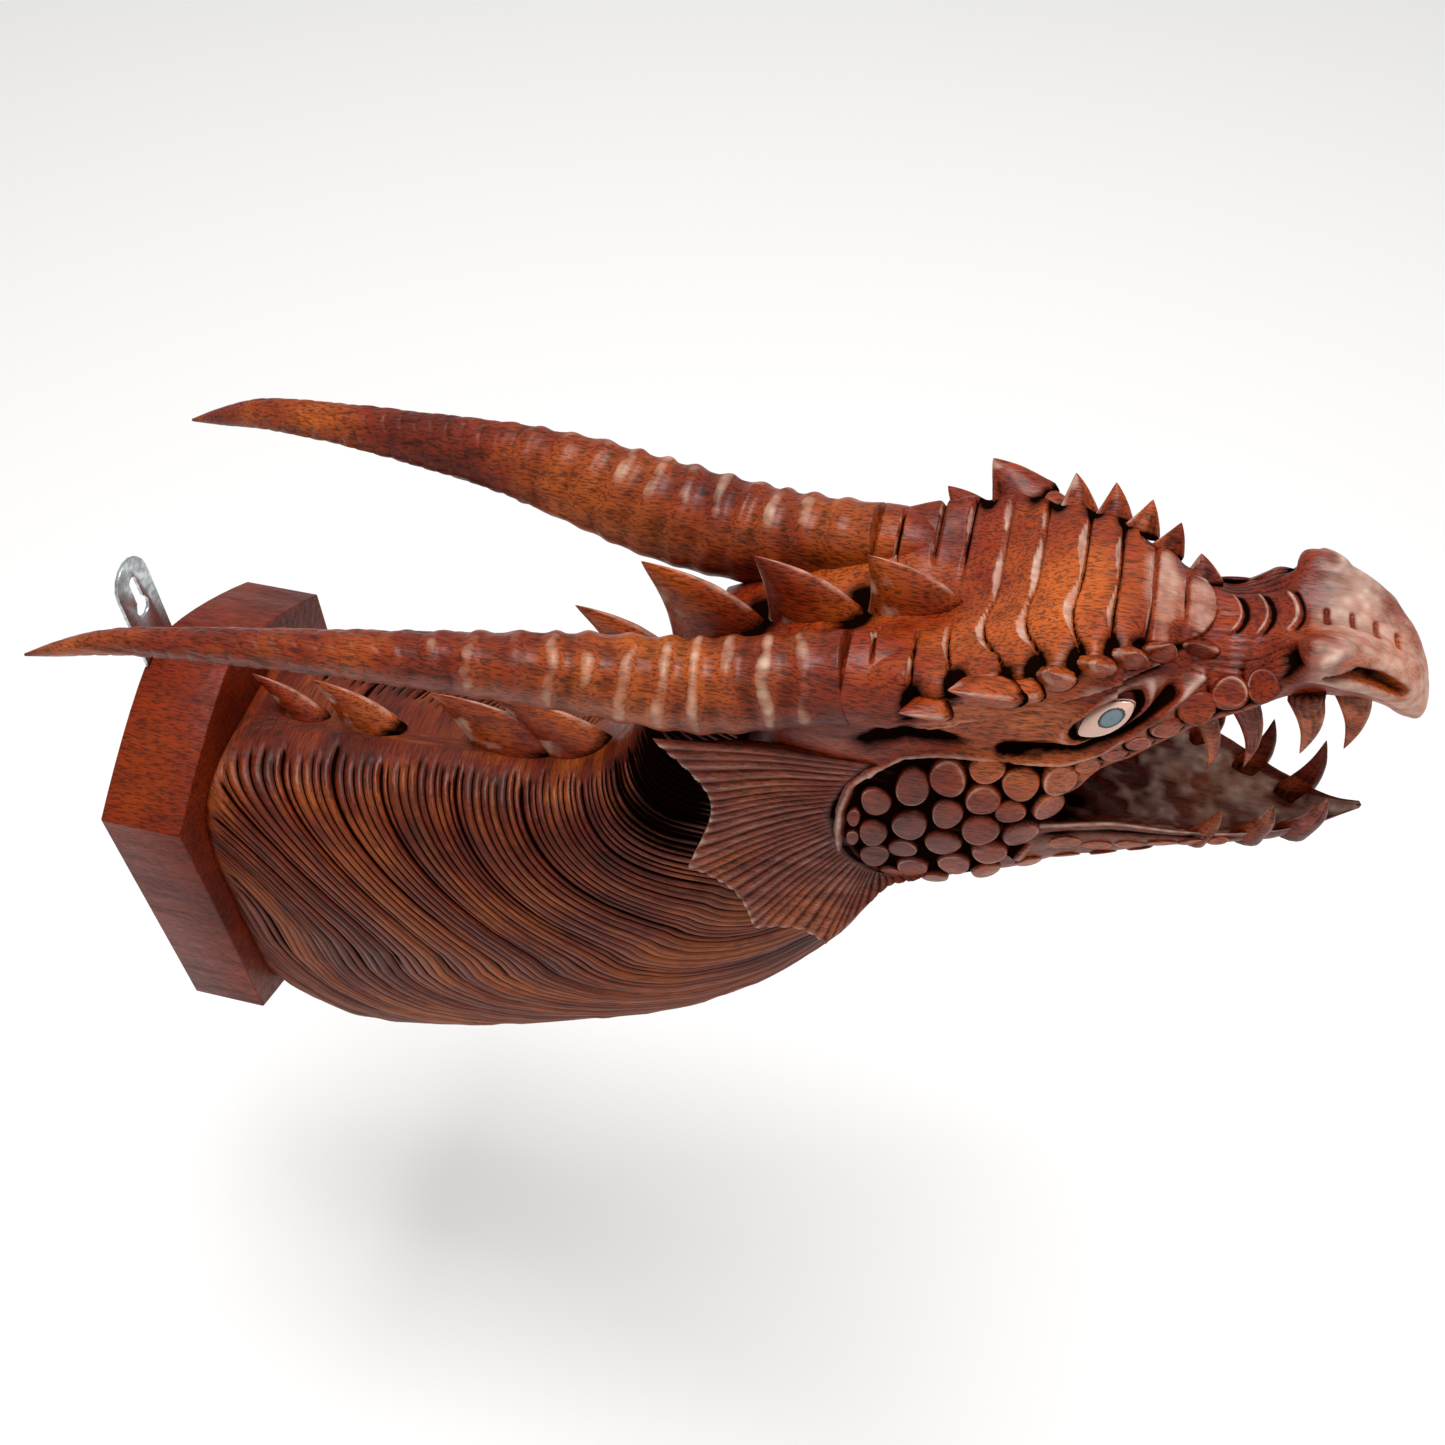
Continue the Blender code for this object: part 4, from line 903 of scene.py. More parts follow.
def carve_flank(skin):
    """The ridges and hollows of cheek, temple and brow, and the sunk field of the bosses. Returns
    how far the eye's lid stays open, less where the tear groove runs into it."""
    u, w, z, flank = skin.u, skin.w, skin.z, skin.flank
    # Each line also paints tone: painted highlight on the cheek ridge, the cheek rim and over the brow
    # crease; painted shade in the tear groove, the temple hollow, the crease, the sunk field and the cuts
    # round the lip bosses
    ridge, _ = line_distance(CHEEK_RIDGE, u, z)
    skin.cut(1.6 * bell(ridge, 1.8) * flank, 0.34 * bell(ridge, 0.9) * flank)
    tear, at = line_distance(TEAR_GROOVE, u, z)
    groove = bell(tear, 2.1 + 1.3 * bell(at, 0.16)) * flank
    skin.cut(-3.8 * groove, -1.0 * groove)
    temple, at = line_distance(TEMPLE_HOLLOW, u, z)
    hollow = bell(temple, 6.4 - 4.0 * at) * np.sin(math.pi * np.clip(0.16 + 0.82 * at, 0, 1)) * flank
    skin.cut(-5.5 * hollow, -1.1 * hollow)
    crease, _ = line_distance(BROW_LINE, u, z)
    over = ease((z - np.interp(u, *np.transpose(BROW_LINE))) / 1.5)
    brow = bell(crease, 4.0) * flank * ease((w - 20) / 4)
    skin.cut(
        (1.5 * over - 1.6 * (1 - over)) * brow,
        (0.22 * over - 0.50 * (1 - over) * bell(crease, 1.6)) * brow,
    )
    # Painted shade in the deep hollow behind the fin
    behind_fin = ease((250 - u) / 30) * ease((172 - z) / 14) * flank
    skin.cut(-14 * behind_fin, -0.9 * behind_fin)
    rim_u = np.interp(z, [p[1] for p in CHEEK_RIM], [p[0] for p in CHEEK_RIM])
    ridge_z = np.interp(u, *np.transpose(CHEEK_RIDGE))
    field = ease((u - rim_u - 1) / 2) * ease((ridge_z - z - 1) / 2) * ease((CHEEK_FRONT + 4 - u) / 3)
    field = field * ease((z - 82) / 4) * flank * (skin.share > 0.4)
    # Painted shade over the sunk field of the bosses
    skin.cut(-1.9 * field, -0.48 * field)
    for along, high, half_length, half_height in LIP_BOSSES:
        reach = np.hypot((u - along) / half_length, (z - high) / half_height)
        moat = bell(reach - 1.18, 0.16) * ease((w - 12) / 4) * (skin.share > 0.2)
        moat = moat * ease((high + 3 - z) / 4) * ((skin.signed > 0) | (u < FAR_MOAT_TO))
        # Painted shade in the cut round each lip boss
        skin.cut(-1.0 * moat, -0.5 * moat)
    rim, _ = line_distance(CHEEK_RIM, u, z)
    skin.cut(1.4 * bell(rim, 1.7) * flank, 0.34 * bell(rim, 0.9) * flank)
    return 1 - 0.9 * groove


def carve_eye_socket(skin, open_lid):
    eye = almond(skin.u, skin.z)
    socket = skin.flank * (np.abs(skin.u - EYE_CENTRE[0]) < 20) * (skin.z > 180) * (skin.z < 218)
    # Painted highlight on the lid, painted shade in the socket round the eye
    skin.cut(
        socket * (1.5 * open_lid * bell(eye - 1.6, 0.45) - 3.0 * ease((1.12 - eye) / 0.25)),
        socket * (0.22 * open_lid * bell(eye - 1.7, 0.3) - 0.75 * bell(eye - 1.1, 0.2)),
    )


def carve_nostrils(skin):
    """The slit of the nostril, the ridge over it and the hollow behind."""
    u, w, z, side = skin.u, skin.w, skin.z, skin.side
    # Painted shade in the nostril's slit and the hollow behind it, painted highlight on the ridge over it
    slit, at = line_distance(NOSTRIL_SLIT, u, z)
    opening = ease((2.9 * np.sin(math.pi * (0.06 + 0.88 * at)) ** 0.5 - slit + 0.5) / 0.9) * side
    skin.cut(-4.6 * opening, -0.75 * opening)
    lid, _ = line_distance(NOSTRIL_RIDGE, u, z)
    skin.cut(1.3 * bell(lid, 1.3) * side, 0.34 * bell(lid, 1.1) * side)
    pit = np.exp(-(((u - NOSE_HOLLOW[0]) / 2.8) ** 2 + ((z - NOSE_HOLLOW[1]) / 5.5) ** 2))
    pit = pit * ease((w - 15) / 5) * ease((NOSE_HOLLOW[1] + 5 - z) / 3)
    skin.cut(-6.0 * pit, -1.1 * pit)


def carve_fine_lines(skin):
    """The fine lines of the snout and the folds behind the eye, where noise bends |sin|."""
    u, w, z, upper = skin.u, skin.w, skin.z, skin.upper
    # Painted shade in each fine line of the snout and in each fold
    snout = ease((u - 377) / 5) * ease((410 - u) / 4) * ease((w - 9) / 3) * ease((26 - w) / 4) * upper
    lines = np.abs(np.sin(w * 1.15 + 0.10 * u + 0.5 * lattice_noise(skin.grid, 9, 21)))
    skin.cut(-0.55 * (1 - lines) ** 2 * snout, -0.35 * (1 - lines) ** 3 * snout)
    band = skin.flank * ease((u - 286) / 6) * ease((346 - u) / 6) * (z > 176) * (z < 206)
    folds = np.abs(np.sin((z - 0.25 * u) * 0.85 + 0.8 * lattice_noise(skin.grid, 14, 5)))
    skin.cut(-0.6 * (1 - folds) ** 2 * band, -0.22 * (1 - folds) ** 3 * band)


def carve_spike_feet(skin):
    """The hollows cut behind the foot of each spike, with painted shade in them."""
    u, w, z = skin.u, skin.w, skin.z
    for root, _, length, width in BACK_SPIKES[:3]:
        behind = np.exp(-(((u - root[0] + 0.50 * length) / 6.5) ** 2 + ((w - 2) / (0.62 * width)) ** 2))
        behind = behind * (z > root[2] - 30)
        skin.cut(-2.5 * behind * (skin.share < 0.3), -0.95 * behind * (skin.share < 0.3))
    for root, _, length, _ in BROW_SPIKES:
        far = ((u - root[0] + 0.45 * length) / 3.6) ** 2 + ((w - root[1]) / 6.5) ** 2
        behind = np.exp(-(far + ((z - root[2]) / 8.0) ** 2))
        skin.cut(-2.4 * behind, -0.95 * behind)


def head_relief(grid, share, groove_depth):
    """The head's carving in form units, and the tone of each point: painted shade in its cuts and a painted
    highlight on its ridges. Lines are exponentials of the squared distance to them."""
    skin = HeadSkin(grid, share)
    carve_crown(skin, groove_depth)
    open_lid = carve_flank(skin)
    carve_eye_socket(skin, open_lid)
    carve_nostrils(skin)
    carve_fine_lines(skin)
    carve_spike_feet(skin)
    uneven = 0.22 * lattice_noise(grid, 6.5, 11) + 0.30 * lattice_noise(grid, 17, 12)
    skin.cut(uneven, 0.10 * lattice_noise(grid, 12, 13))
    return skin.relief, np.clip(skin.tone, 0, 1)


def head_mesh(groove_depth):
    """The head: sections lofted along u, carved along their normals, closed at both ends."""
    at = np.concatenate([np.linspace(HEAD_STATIONS[0], 266, 12), np.linspace(267, HEAD_STATIONS[-1], 330)])
    shares = np.concatenate([np.linspace(0, 0.78, 128), np.linspace(0.80, 1, 14)])
    rings, shares = ring_closed(half_sections(HEAD_STATIONS, HEAD_SECTIONS, at, shares), shares)
    relief, tone = head_relief(rings, shares, groove_depth)
    rings = rings + outward(rings) * relief[..., None]
    return closed(rings, tone, [0.5, 0.7], (HEAD_END[0], 0, HEAD_END[1]))


def horn_roots(groove_depth):
    """The head's own wood in front of each horn: the horn's section carried on, sinking into the
    crown, with the crown's cuts running over it."""
    forward = np.array([-1.0, 6, 14, 22, 30, 38])
    shape = np.array([
        (34.4, 192, 13.8, 16.5), (34.0, 193, 13.4, 16.2), (33.4, 193.5, 12.6, 15.2),
        (32.8, 192.5, 11.2, 13.4), (32.2, 190, 9.2, 10.8), (31.6, 186, 6.5, 7.6),
    ])
    at = np.linspace(-1, 38, 90)
    row = spline(forward, shape, at)
    angle = round_turn(110)
    high = np.array([math.cos(HORN_LEAN), math.sin(HORN_LEAN)])
    wide = np.array([-math.sin(HORN_LEAN), math.cos(HORN_LEAN)])
    middle = row[:, None, 0:2]
    round_it = (row[:, 2:3] * np.cos(angle))[..., None] * high
    round_it = round_it + (row[:, 3:4] * np.sin(angle))[..., None] * wide
    shapes = []
    for side in (1, -1):
        section = (middle + round_it) * np.array([side, 1])
        u = np.broadcast_to((HORN_FRONT + at)[:, None, None], section.shape[:2] + (1,))
        rings = np.concatenate([u, section], axis=2)
        depth, tone = crown_relief(rings[..., 0], rings[..., 1])
        top = ease((rings[..., 2] - 176) / 5)
        inward = (middle * np.array([side, 1]) - section) / np.linalg.norm(round_it, axis=2, keepdims=True)
        rings[..., 1:] += inward * (groove_depth / FORM * depth * top)[..., None]
        # The crown's painted highlight and shade carried over the root, and painted shade where it meets the
        # horn
        tone = 0.5 + tone * top - 0.2 * bell(at + 1, 0.5)[:, None]
        shapes.append(closed(rings, tone, [0.5, 0.5]))
    return gather(shapes)


def jaw_mesh():
    """The lower jaw: sections lofted along u. The lining is rough, gouged wood that darkens as painted shade
    towards the back of the mouth; the rim is a thin pale line, a painted highlight over rubbed wood; the
    groove under it takes painted shade; the outer wall is smooth."""
    at = np.linspace(JAW_STATIONS[0], JAW_STATIONS[-1], 170)
    shares = np.linspace(0, 1, 90)
    rings, share = ring_closed(half_sections(JAW_STATIONS, JAW_SECTIONS, at, shares), shares)
    share = np.broadcast_to(share, rings.shape[:2])
    u = rings[..., 0]
    raised = ease((u - 350) / 25) * ease((456 - u) / 20) * bell(share - 0.5, 0.10)
    rings[..., 2] += JAW_RIM_RISE * raised
    lining = ease((0.44 - share) / 0.06)
    rough = lattice_noise(rings, 6, 31) + 0.7 * lattice_noise(rings, 3.0, 32)
    rim = bell(share - 0.52, 0.02)
    groove = bell(share - 0.58, 0.016) * ease((u - 345) / 6) * ease((430 - u) / 20)
    slim = ease((456 - u) / 30)
    relief = lining * 0.9 * rough * slim + 0.2 * (1 - lining) * rough * slim - 0.8 * groove
    rings = rings + outward(rings) * relief[..., None]
    # Painted shade towards the back of the mouth and in the groove, painted highlight on the rim; the
    # lining's tone also rises and falls with its bumps
    deep = ease((400 - u) / 60)
    tone = 0.47 + lining * (0.26 + 0.24 * rough - 0.70 * deep) + 0.46 * rim - 0.4 * groove
    return closed(rings, tone, [0.5, 0.6], (JAW_END[0], 0, JAW_END[1]))


def skin_frame(stations, sections, u, z, first_share):
    """The point of the right side at station u and height z, and its outward, forward and
    upward directions there."""
    shares = np.linspace(first_share, 0.97, 400)
    strip = half_sections(stations, sections, [u - 0.5, u, u + 0.5], shares)
    k = int(np.argmin(np.abs(strip[1, 1:-1, 2] - z))) + 1
    normal = np.cross(strip[2, k] - strip[0, k], strip[1, k + 1] - strip[1, k - 1])
    normal *= np.sign(normal[1]) / np.linalg.norm(normal)
    forward = np.array([1.0, 0, 0]) - normal * normal[0]
    forward /= np.linalg.norm(forward)
    return strip[1, k], normal, forward, np.cross(forward, normal)


def boss(where, normal, forward, upward, half_length, half_height, rise, seed):
    """A flat-topped round boss. Over the radius share r its height is nearly full up to 0.9, with a slight
    dome, and drops steeply from 1 to below the skin; a thin ring of painted highlight over rubbed wood lies
    at 0.92, and painted shade darkens the boss from 1 outwards."""
    rng = np.random.default_rng(seed)
    r = np.array([0.25, 0.5, 0.74, 0.86, 0.93, 0.99, 1.04, 1.08, 1.12])
    angle = round_turn(28)
    lumps = 1 + 0.04 * np.cos(3 * angle + rng.uniform(0, 6)) + 0.04 * np.cos(2 * angle + rng.uniform(0, 6))
    profile = np.array([
        (0, 1.05), (0.5, 1.0), (0.86, 0.93), (0.93, 0.86), (0.99, 0.68), (1.04, 0.30), (1.12, -0.8),
    ])
    lift = np.interp(r, *profile.T) * rise
    tilt = 0.12 * rise * np.cos(angle + rng.uniform(0, 6))
    height = lift[:, None] + tilt * np.minimum(r, 1)[:, None]
    a = (r[:, None] * np.cos(angle) * lumps) * half_length
    b = (r[:, None] * np.sin(angle) * lumps) * half_height
    rings = where + a[..., None] * forward + b[..., None] * upward + height[..., None] * normal
    # Painted shade at the foot, and a ring of painted highlight over rubbed wood near the rim
    tone = np.interp(r, [0, 0.80, 0.90, 0.96, 1.02, 1.08], [0.5, 0.52, 0.56, 0.54, 0.22, 0.0])[:, None]
    rubbed = bell(r - 0.91, 0.05)[:, None] * (0.5 + 0.5 * np.cos(angle + rng.uniform(0, 6)))
    tone = tone + 0.34 * rubbed + 0.10 * rng.uniform(-1, 1)
    return rings[::-1], np.clip(tone[::-1], 0, 1).ravel(), where + normal * rise * 1.05


def boss_shapes():
    """Every boss of the cheek, lips and jaw, on both sides."""
    # Table, stations, sections, first share searched, rise, sunk, longer, taller, darkest tone
    groups = [
        (BOSSES, HEAD_STATIONS, HEAD_SECTIONS, 0.42, 2.7, -1.9, 1.16, 1.6, 0.0),
        (LIP_BOSSES, HEAD_STATIONS, HEAD_SECTIONS, 0.26, 0.7, -0.5, 1.0, 1.0, 0.34),
        (JAW_BOSSES, JAW_STATIONS, JAW_SECTIONS, 0.56, 0.9, -0.3, 1.0, 1.2, 0.2),
    ]
    shapes = []
    seed = 100
    for table, stations, sections, first_share, rise, sunk, longer, taller, least in groups:
        for u, z, half_length, half_height in table:
            seed += 1
            where, normal, forward, upward = skin_frame(stations, sections, u, z, first_share)
            rings, tone, top = boss(
                where + normal * sunk, normal, forward, upward,
                longer * half_length, taller * half_height, rise, seed,
            )
            for side in (1, -1):
                flip = np.array([1, side, 1])
                vertices, faces = tube(place(rings * flip), place(top * flip))
                shapes.append((vertices, faces, np.maximum(np.append(tone, [0.02, 0.5]), least)))
    return gather(shapes)


def blade(root, tip, length, width, bend, seed, plain, root_shade):
    """A thorn: t from root to tip, angle round it. The axis bows forward by a sine, the section is
    a lens (cosine to the power 0.9 by sine to the power 1.35), and its size falls as (1 - t) to
    the power 0.85."""
    root, tip = np.asarray(root, float), np.asarray(tip, float)
    axis = tip - root
    size = np.linalg.norm(axis)
    along = np.array([1.0, 0, 0]) - axis * axis[0] / size**2
    along /= np.linalg.norm(along)
    across = np.cross(axis / size, along)
    t = np.concatenate([[-0.16, -0.08], np.linspace(0, 0.985, 22)])
    grown = np.clip(t, 0, 1)
    angle = round_turn(28)
    shrink = (1 - grown) ** 0.85
    centre = root + axis * t[:, None] + along * (bend * size * np.sin(math.pi * grown))[:, None]
    a = np.sign(np.cos(angle)) * np.abs(np.cos(angle)) ** 0.9
    b = np.sign(np.sin(angle)) * np.abs(np.sin(angle)) ** 1.35
    rings = centre[:, None] + (a[None, :] * length / 2 * shrink[:, None])[..., None] * along
    rings = rings + (b[None, :] * width / 2 * shrink[:, None])[..., None] * across
    away = rings - centre[:, None]
    away /= np.maximum(np.linalg.norm(away, axis=2, keepdims=True), 1e-9)
    lines = np.abs(np.sin(angle * 7 + 1.5 * lattice_noise(rings, 9, seed)))
    wobble = 0.22 * lattice_noise(rings, 4.5, seed + 1) - 0.28 * (1 - lines) ** 2
    rings = rings + away * (wobble * shrink[:, None])[..., None]
    # Tone: painted highlight over rubbed wood on the front and rear edges and on patches of the rear face;
    # painted shade at the foot, on the inner faces of the brow thorns and in the fine lines
    ridge = np.abs(np.cos(angle)) ** 10
    patch = ease((lattice_noise(rings, 7.0, seed + 2) + 0.1) / 0.5)
    rubbed = 0.32 * ridge[None, :] + 0.34 * patch * ease((np.cos(angle) * -1 + 0.4) / 0.8)[None, :]
    tone = plain + rubbed * ease(grown[:, None] / 0.2)
    tone = tone - root_shade * ease((0.12 - t) / 0.24)[:, None]
    if abs(root[1]) > 2 and root_shade > 0.1:
        inner = ease((-away[..., 1] * np.sign(root[1]) - 0.15) / 0.4)
        tone = tone - 0.26 * inner * ease((0.75 - grown) / 0.3)[:, None]
    tone = tone - 0.18 * (1 - lines) ** 3
    return rings, tone, tip


def blade_shapes(table, sides, bend, seed, plain, root_shade):
    """Every thorn of a table, on the given sides."""
    shapes = []
    for k, (root, tip, length, width) in enumerate(table):
        for side in sides:
            flip = np.array([1, side, 1])
            rings, tone, end = blade(
                np.array(root) * flip, np.array(tip) * flip, length, width, bend,
                seed + 10 * k + side, plain, root_shade,
            )
            shapes.append(closed(rings, tone, [0.1, 0.7], end))
    return gather(shapes)


def fin_shape(side):
    """The cheek fin: q runs over its ribs and t from the root to the rim, which dips between the
    tips by a sine. Ribs are |sin| of q, wider towards the rim; the sheet thins to its edge."""
    q = np.linspace(0, FIN_TIP_RIBS[-1], FIN_RIBS * SAMPLES_PER_RIB + 1)
    knots = FIN_ROOT.copy()
    for knot in knots:
        knot[1] = skin_frame(HEAD_STATIONS, HEAD_SECTIONS, knot[0], knot[2], 0.42)[0][1] + 0.8
    root = spline(np.linspace(0, FIN_TIP_RIBS[-1], len(knots)), knots, q)
    k = np.clip(np.searchsorted(FIN_TIP_RIBS, q, side="right") - 1, 0, len(FIN_SCALLOPS) - 1)
    part = (q - FIN_TIP_RIBS[k]) / (FIN_TIP_RIBS[k + 1] - FIN_TIP_RIBS[k])
    straight = FIN_TIPS[k] * (1 - part)[:, None] + FIN_TIPS[k + 1] * part[:, None]
    inward = root - straight
    inward /= np.linalg.norm(inward, axis=1, keepdims=True)
    rim = straight + inward * (np.array(FIN_SCALLOPS)[k] * np.sin(math.pi * part))[:, None]
    t = np.linspace(-0.06, 1, 40)
    sheet = root[:, None] * (1 - t)[None, :, None] + rim[:, None] * t[None, :, None]
    sheet[..., 1] -= 1.6 * np.sin(math.pi * np.clip(t, 0, 1)) ** 2
    phase = q / FIN_TIP_RIBS[-1] * FIN_RIBS + 0.25 * np.sin(q * 1.9)
    crest = np.abs(np.sin(math.pi * phase)) ** 0.7
    fine = np.abs(np.sin(math.pi * phase * 3))
    grow = ease(t / 0.10)[None, :]
    relief = (1.0 * (crest - 0.8)[:, None] + 0.25 * (fine - 0.6)[:, None]) * grow
    relief = relief + 0.25 * lattice_noise(sheet, 8, 51)
    front = sheet.copy()
    front[..., 1] += relief
    thick = FIN_THICKNESS * (0.45 + 0.55 * ease((1 - t) / 0.5))
    back = sheet - np.array([0, 1, 0]) * thick[None, :, None]
    back[..., 1] -= relief * 0.5
    edge = (front[:, -1:] + back[:, -1:]) / 2 + (rim - root)[:, None] * 0.008
    loop = np.concatenate([front, edge, back[:, ::-1]], axis=1) * np.array([1, side, 1])
    # Painted highlight on the crests of the ribs and along the rim, painted shade between the ribs, at the
    # root and a little over the back face
    tone = 0.5 + np.clip((crest - 0.80)[:, None] * 0.85, -0.26, 0.17) * grow
    tone = tone + 0.3 * bell(1 - t, 0.02)[None, :]
    tone = tone - 0.45 * bell(t + 0.02, 0.05)[None, :]
    tones = np.concatenate([tone, np.full((len(q), 1), 0.85), tone[:, ::-1] - 0.05], axis=1)
    return closed(loop, tones, [0.6, 0.6])


def horn_shape(side, ring_spacing, ring_height):
    """A horn: rings round a curved centreline, each a leaning ellipse. Raised rings are a cosine
    along it, stronger on top; towards the tip small gouge scallops take over."""
    steps = np.concatenate([[0], np.cumsum(np.linalg.norm(np.diff(HORN[:, :3], axis=0), axis=1))])
    at = np.linspace(0, steps[-1] - 0.6, 430)
    row = spline(steps, HORN, at)
    ahead = spline(steps, HORN, np.clip(at + 1, 0, steps[-1]))
    ahead = ahead - spline(steps, HORN, np.clip(at - 1, 0, None))
    ahead = ahead[:, :3] / np.linalg.norm(ahead[:, :3], axis=1, keepdims=True)
    high = np.array([0, math.cos(HORN_LEAN), math.sin(HORN_LEAN)])
    high = high - ahead * (ahead @ high)[:, None]
    high /= np.linalg.norm(high, axis=1, keepdims=True)
    wide = np.cross(ahead, high)
    angle = round_turn(64)
    spot = np.stack([
        np.broadcast_to(at[:, None], (len(at), len(angle))),
        np.broadcast_to(14 * np.cos(angle), (len(at), len(angle))),
        np.broadcast_to(14 * np.sin(angle), (len(at), len(angle))),
    ], axis=-1)
    drift = 0.9 * lattice_noise(spot, 16, 61 + side) + 0.35 * np.cos(angle + 0.6)
    wave = 0.5 + 0.5 * np.cos(2 * math.pi * at[:, None] * FORM / ring_spacing + drift)
    ringed = ease(at / 18) * ease((HORN_RINGED - at) / 90)
    facing = 0.45 + 0.55 * ease((np.cos(angle + 0.25) + 0.2) / 0.9)
    ring = wave**1.6 * ringed[:, None] * facing[None, :]
    scallop = np.abs(np.sin(at[:, None] * 0.42 + 1.3 * np.sin(2 * angle) + drift))
    scallop = scallop * np.abs(np.sin(3.5 * angle + at[:, None] * 0.11))
    tip_part = ease((at - 95) / 70)[:, None] * ease((steps[-1] - at) / 60)[:, None]
    rough = lattice_noise(spot, 4.0, 63 + side)
    relief = ring_height / FORM * (1.7 * ring - 0.35 * ringed[:, None])
    relief = relief + 0.30 * rough * ease((steps[-1] - at) / 80)[:, None]
    relief = relief - 0.50 * (1 - scallop) ** 3 * tip_part
    tall = row[:, 3][:, None] + relief
    thick = row[:, 4][:, None] + relief
    rings = row[:, None, :3] + (tall * np.cos(angle))[..., None] * high[:, None]
    rings = rings + (thick * np.sin(angle))[..., None] * wide[:, None]
    # Painted highlight in crescents on the rings' upper side, painted shade between the rings, in the
    # scallops and at the root
    patch = ease((lattice_noise(spot, 10.0, 67 + side) + 0.45) / 0.6)
    crescent = 0.25 + 0.75 * ease((np.cos(angle) - 0.05) / 0.45)
    tone = 0.5 + 0.46 * ring * ease((wave - 0.35) / 0.5) * (0.7 + 0.6 * rough) * patch * crescent
    tone = tone - 0.16 * (1 - wave) ** 2 * ringed[:, None]
    tone = tone - 0.14 * (1 - scallop) ** 4 * tip_part - 0.15 * bell(at, 0.7)[:, None]
    rings = rings * np.array([1, side, 1])
    tip = HORN[-1, :3] * np.array([1, side, 1])
    return closed(rings, tone, [0.3, 0.6], tip)


def eye_shape(side):
    """A lens with a pointed almond outline, and each point's distance share from the iris."""
    share = np.linspace(0.05, 1, 28)
    angle = round_turn(56)
    a = share[:, None] * np.cos(angle)
    b = share[:, None] * np.sin(angle) * (1 - 0.35 * np.abs(np.cos(angle)) ** 3)
    forward = np.array([math.cos(EYE_RISE), -EYE_TURN, math.sin(EYE_RISE)])
    forward /= np.linalg.norm(forward)
    normal = np.array([0, math.cos(EYE_TILT), math.sin(EYE_TILT)])
    normal -= forward * (normal @ forward)
    normal /= np.linalg.norm(normal)
    up = np.cross(forward, normal)
    dome = EYE_DOME * np.sqrt(np.clip(1 - share**2, 0, 1))[:, None, None] * normal
    centre = np.array(EYE_CENTRE)
    a, b = a * EYE_REACH[0], b * EYE_REACH[1]
    flat = centre + a[..., None] * forward + b[..., None] * up
    front, back = flat + dome, flat - dome
    iris = np.hypot((a - IRIS_MIDDLE[0]) / IRIS_REACH[0], (b - IRIS_MIDDLE[1]) / IRIS_REACH[1])
    iris = np.where(iris < 1, 0.44 * iris, 0.62)
    iris = np.where(share[:, None] > 0.93, 1.0, iris)
    rings = np.concatenate([back, front[::-1][1:]]) * np.array([1, side, 1])
    spot = np.concatenate([np.full_like(iris, 0.62), iris[::-1][1:]])
    tip = (centre + normal * EYE_DOME) * np.array([1, side, 1])
    return closed(rings, spot, [0.62, 0.15], tip)


def edged_copy(node, name, width, material, angle=0.5):
    """A CAD node's mesh copied, its doubles merged and its sharp edges rounded."""
    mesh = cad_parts[node].data.copy()
    mesh.name = name
    shape = bmesh.new()
    shape.from_mesh(mesh)
    bmesh.ops.remove_doubles(shape, verts=shape.verts, dist=1e-6)
    bmesh.ops.dissolve_limit(shape, angle_limit=0.002, verts=shape.verts, edges=shape.edges)
    bmesh.ops.recalc_face_normals(shape, faces=shape.faces)
    shape.to_mesh(mesh)
    shape.free()
    mesh.materials.clear()
    mesh.materials.append(material)
    mesh.shade_smooth()
    piece = put(name, mesh)
    rounding = piece.modifiers.new("rubbed edges", "BEVEL")
    rounding.width = width
    rounding.segments = 3
    rounding.limit_method = "ANGLE"
    rounding.angle_limit = angle
    rounding.harden_normals = True
    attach(piece, "root")
    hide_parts(node)


# Operators

class CarvingOperator:
    """What the operators of this file share."""
    bl_options = {"REGISTER"}


class CARVING_OT_neck(CarvingOperator, bpy.types.Operator):
    """Carve the neck with its locks of hair"""
    bl_idname = "carving.neck"
    bl_label = "Neck"

    def execute(self, context):
        sizes, _ = settings()
        vertices, faces, relief, flow = neck_mesh(sizes.strand_width, sizes.strand_height)
        # Painted shade: the neck's stain is darkened to 0.62 for its side faces, and its painted highlight
        # is orange-brown
        wood = carved_material(
            "Stained hardwood, carved strands", 0.62, along="flow", fleck=0.8, wax="#a8622f"
        )
        make_piece(
            "neck", vertices, faces, wood, "carved_wood", ["dragon_carving"], relief=relief, flow=flow
        )
        return {"FINISHED"}


class CARVING_OT_head(CarvingOperator, bpy.types.Operator):
    """Carve the plated head with its brow, cheek and beak"""
    bl_idname = "carving.head"
    bl_label = "Head"

    def execute(self, context):
        sizes, _ = settings()
        wood = carved_material("Stained hardwood, carved and waxed")
        carve("head", head_mesh(sizes.groove_depth), wood)
        carve("horn_roots", horn_roots(sizes.groove_depth), wood)
        return {"FINISHED"}


class CARVING_OT_jaw(CarvingOperator, bpy.types.Operator):
    """Carve the lower jaw and the lining of the mouth"""
    bl_idname = "carving.jaw"
    bl_label = "Jaw"

    def execute(self, context):
        # Painted shade: the jaw's stain is darkened to 0.55 for its side faces
        wood = carved_material("Stained hardwood, jaw in painted shade", 0.55)
        carve("lower_jaw", jaw_mesh(), wood)
        return {"FINISHED"}


class CARVING_OT_bosses(CarvingOperator, bpy.types.Operator):
    """Carve the round bosses of the cheeks and lips"""
    bl_idname = "carving.bosses"
    bl_label = "Bosses"

    def execute(self, context):
        wood = carved_material("Stained hardwood, carved and waxed")
        carve("cheek_bosses", boss_shapes(), wood)
        return {"FINISHED"}


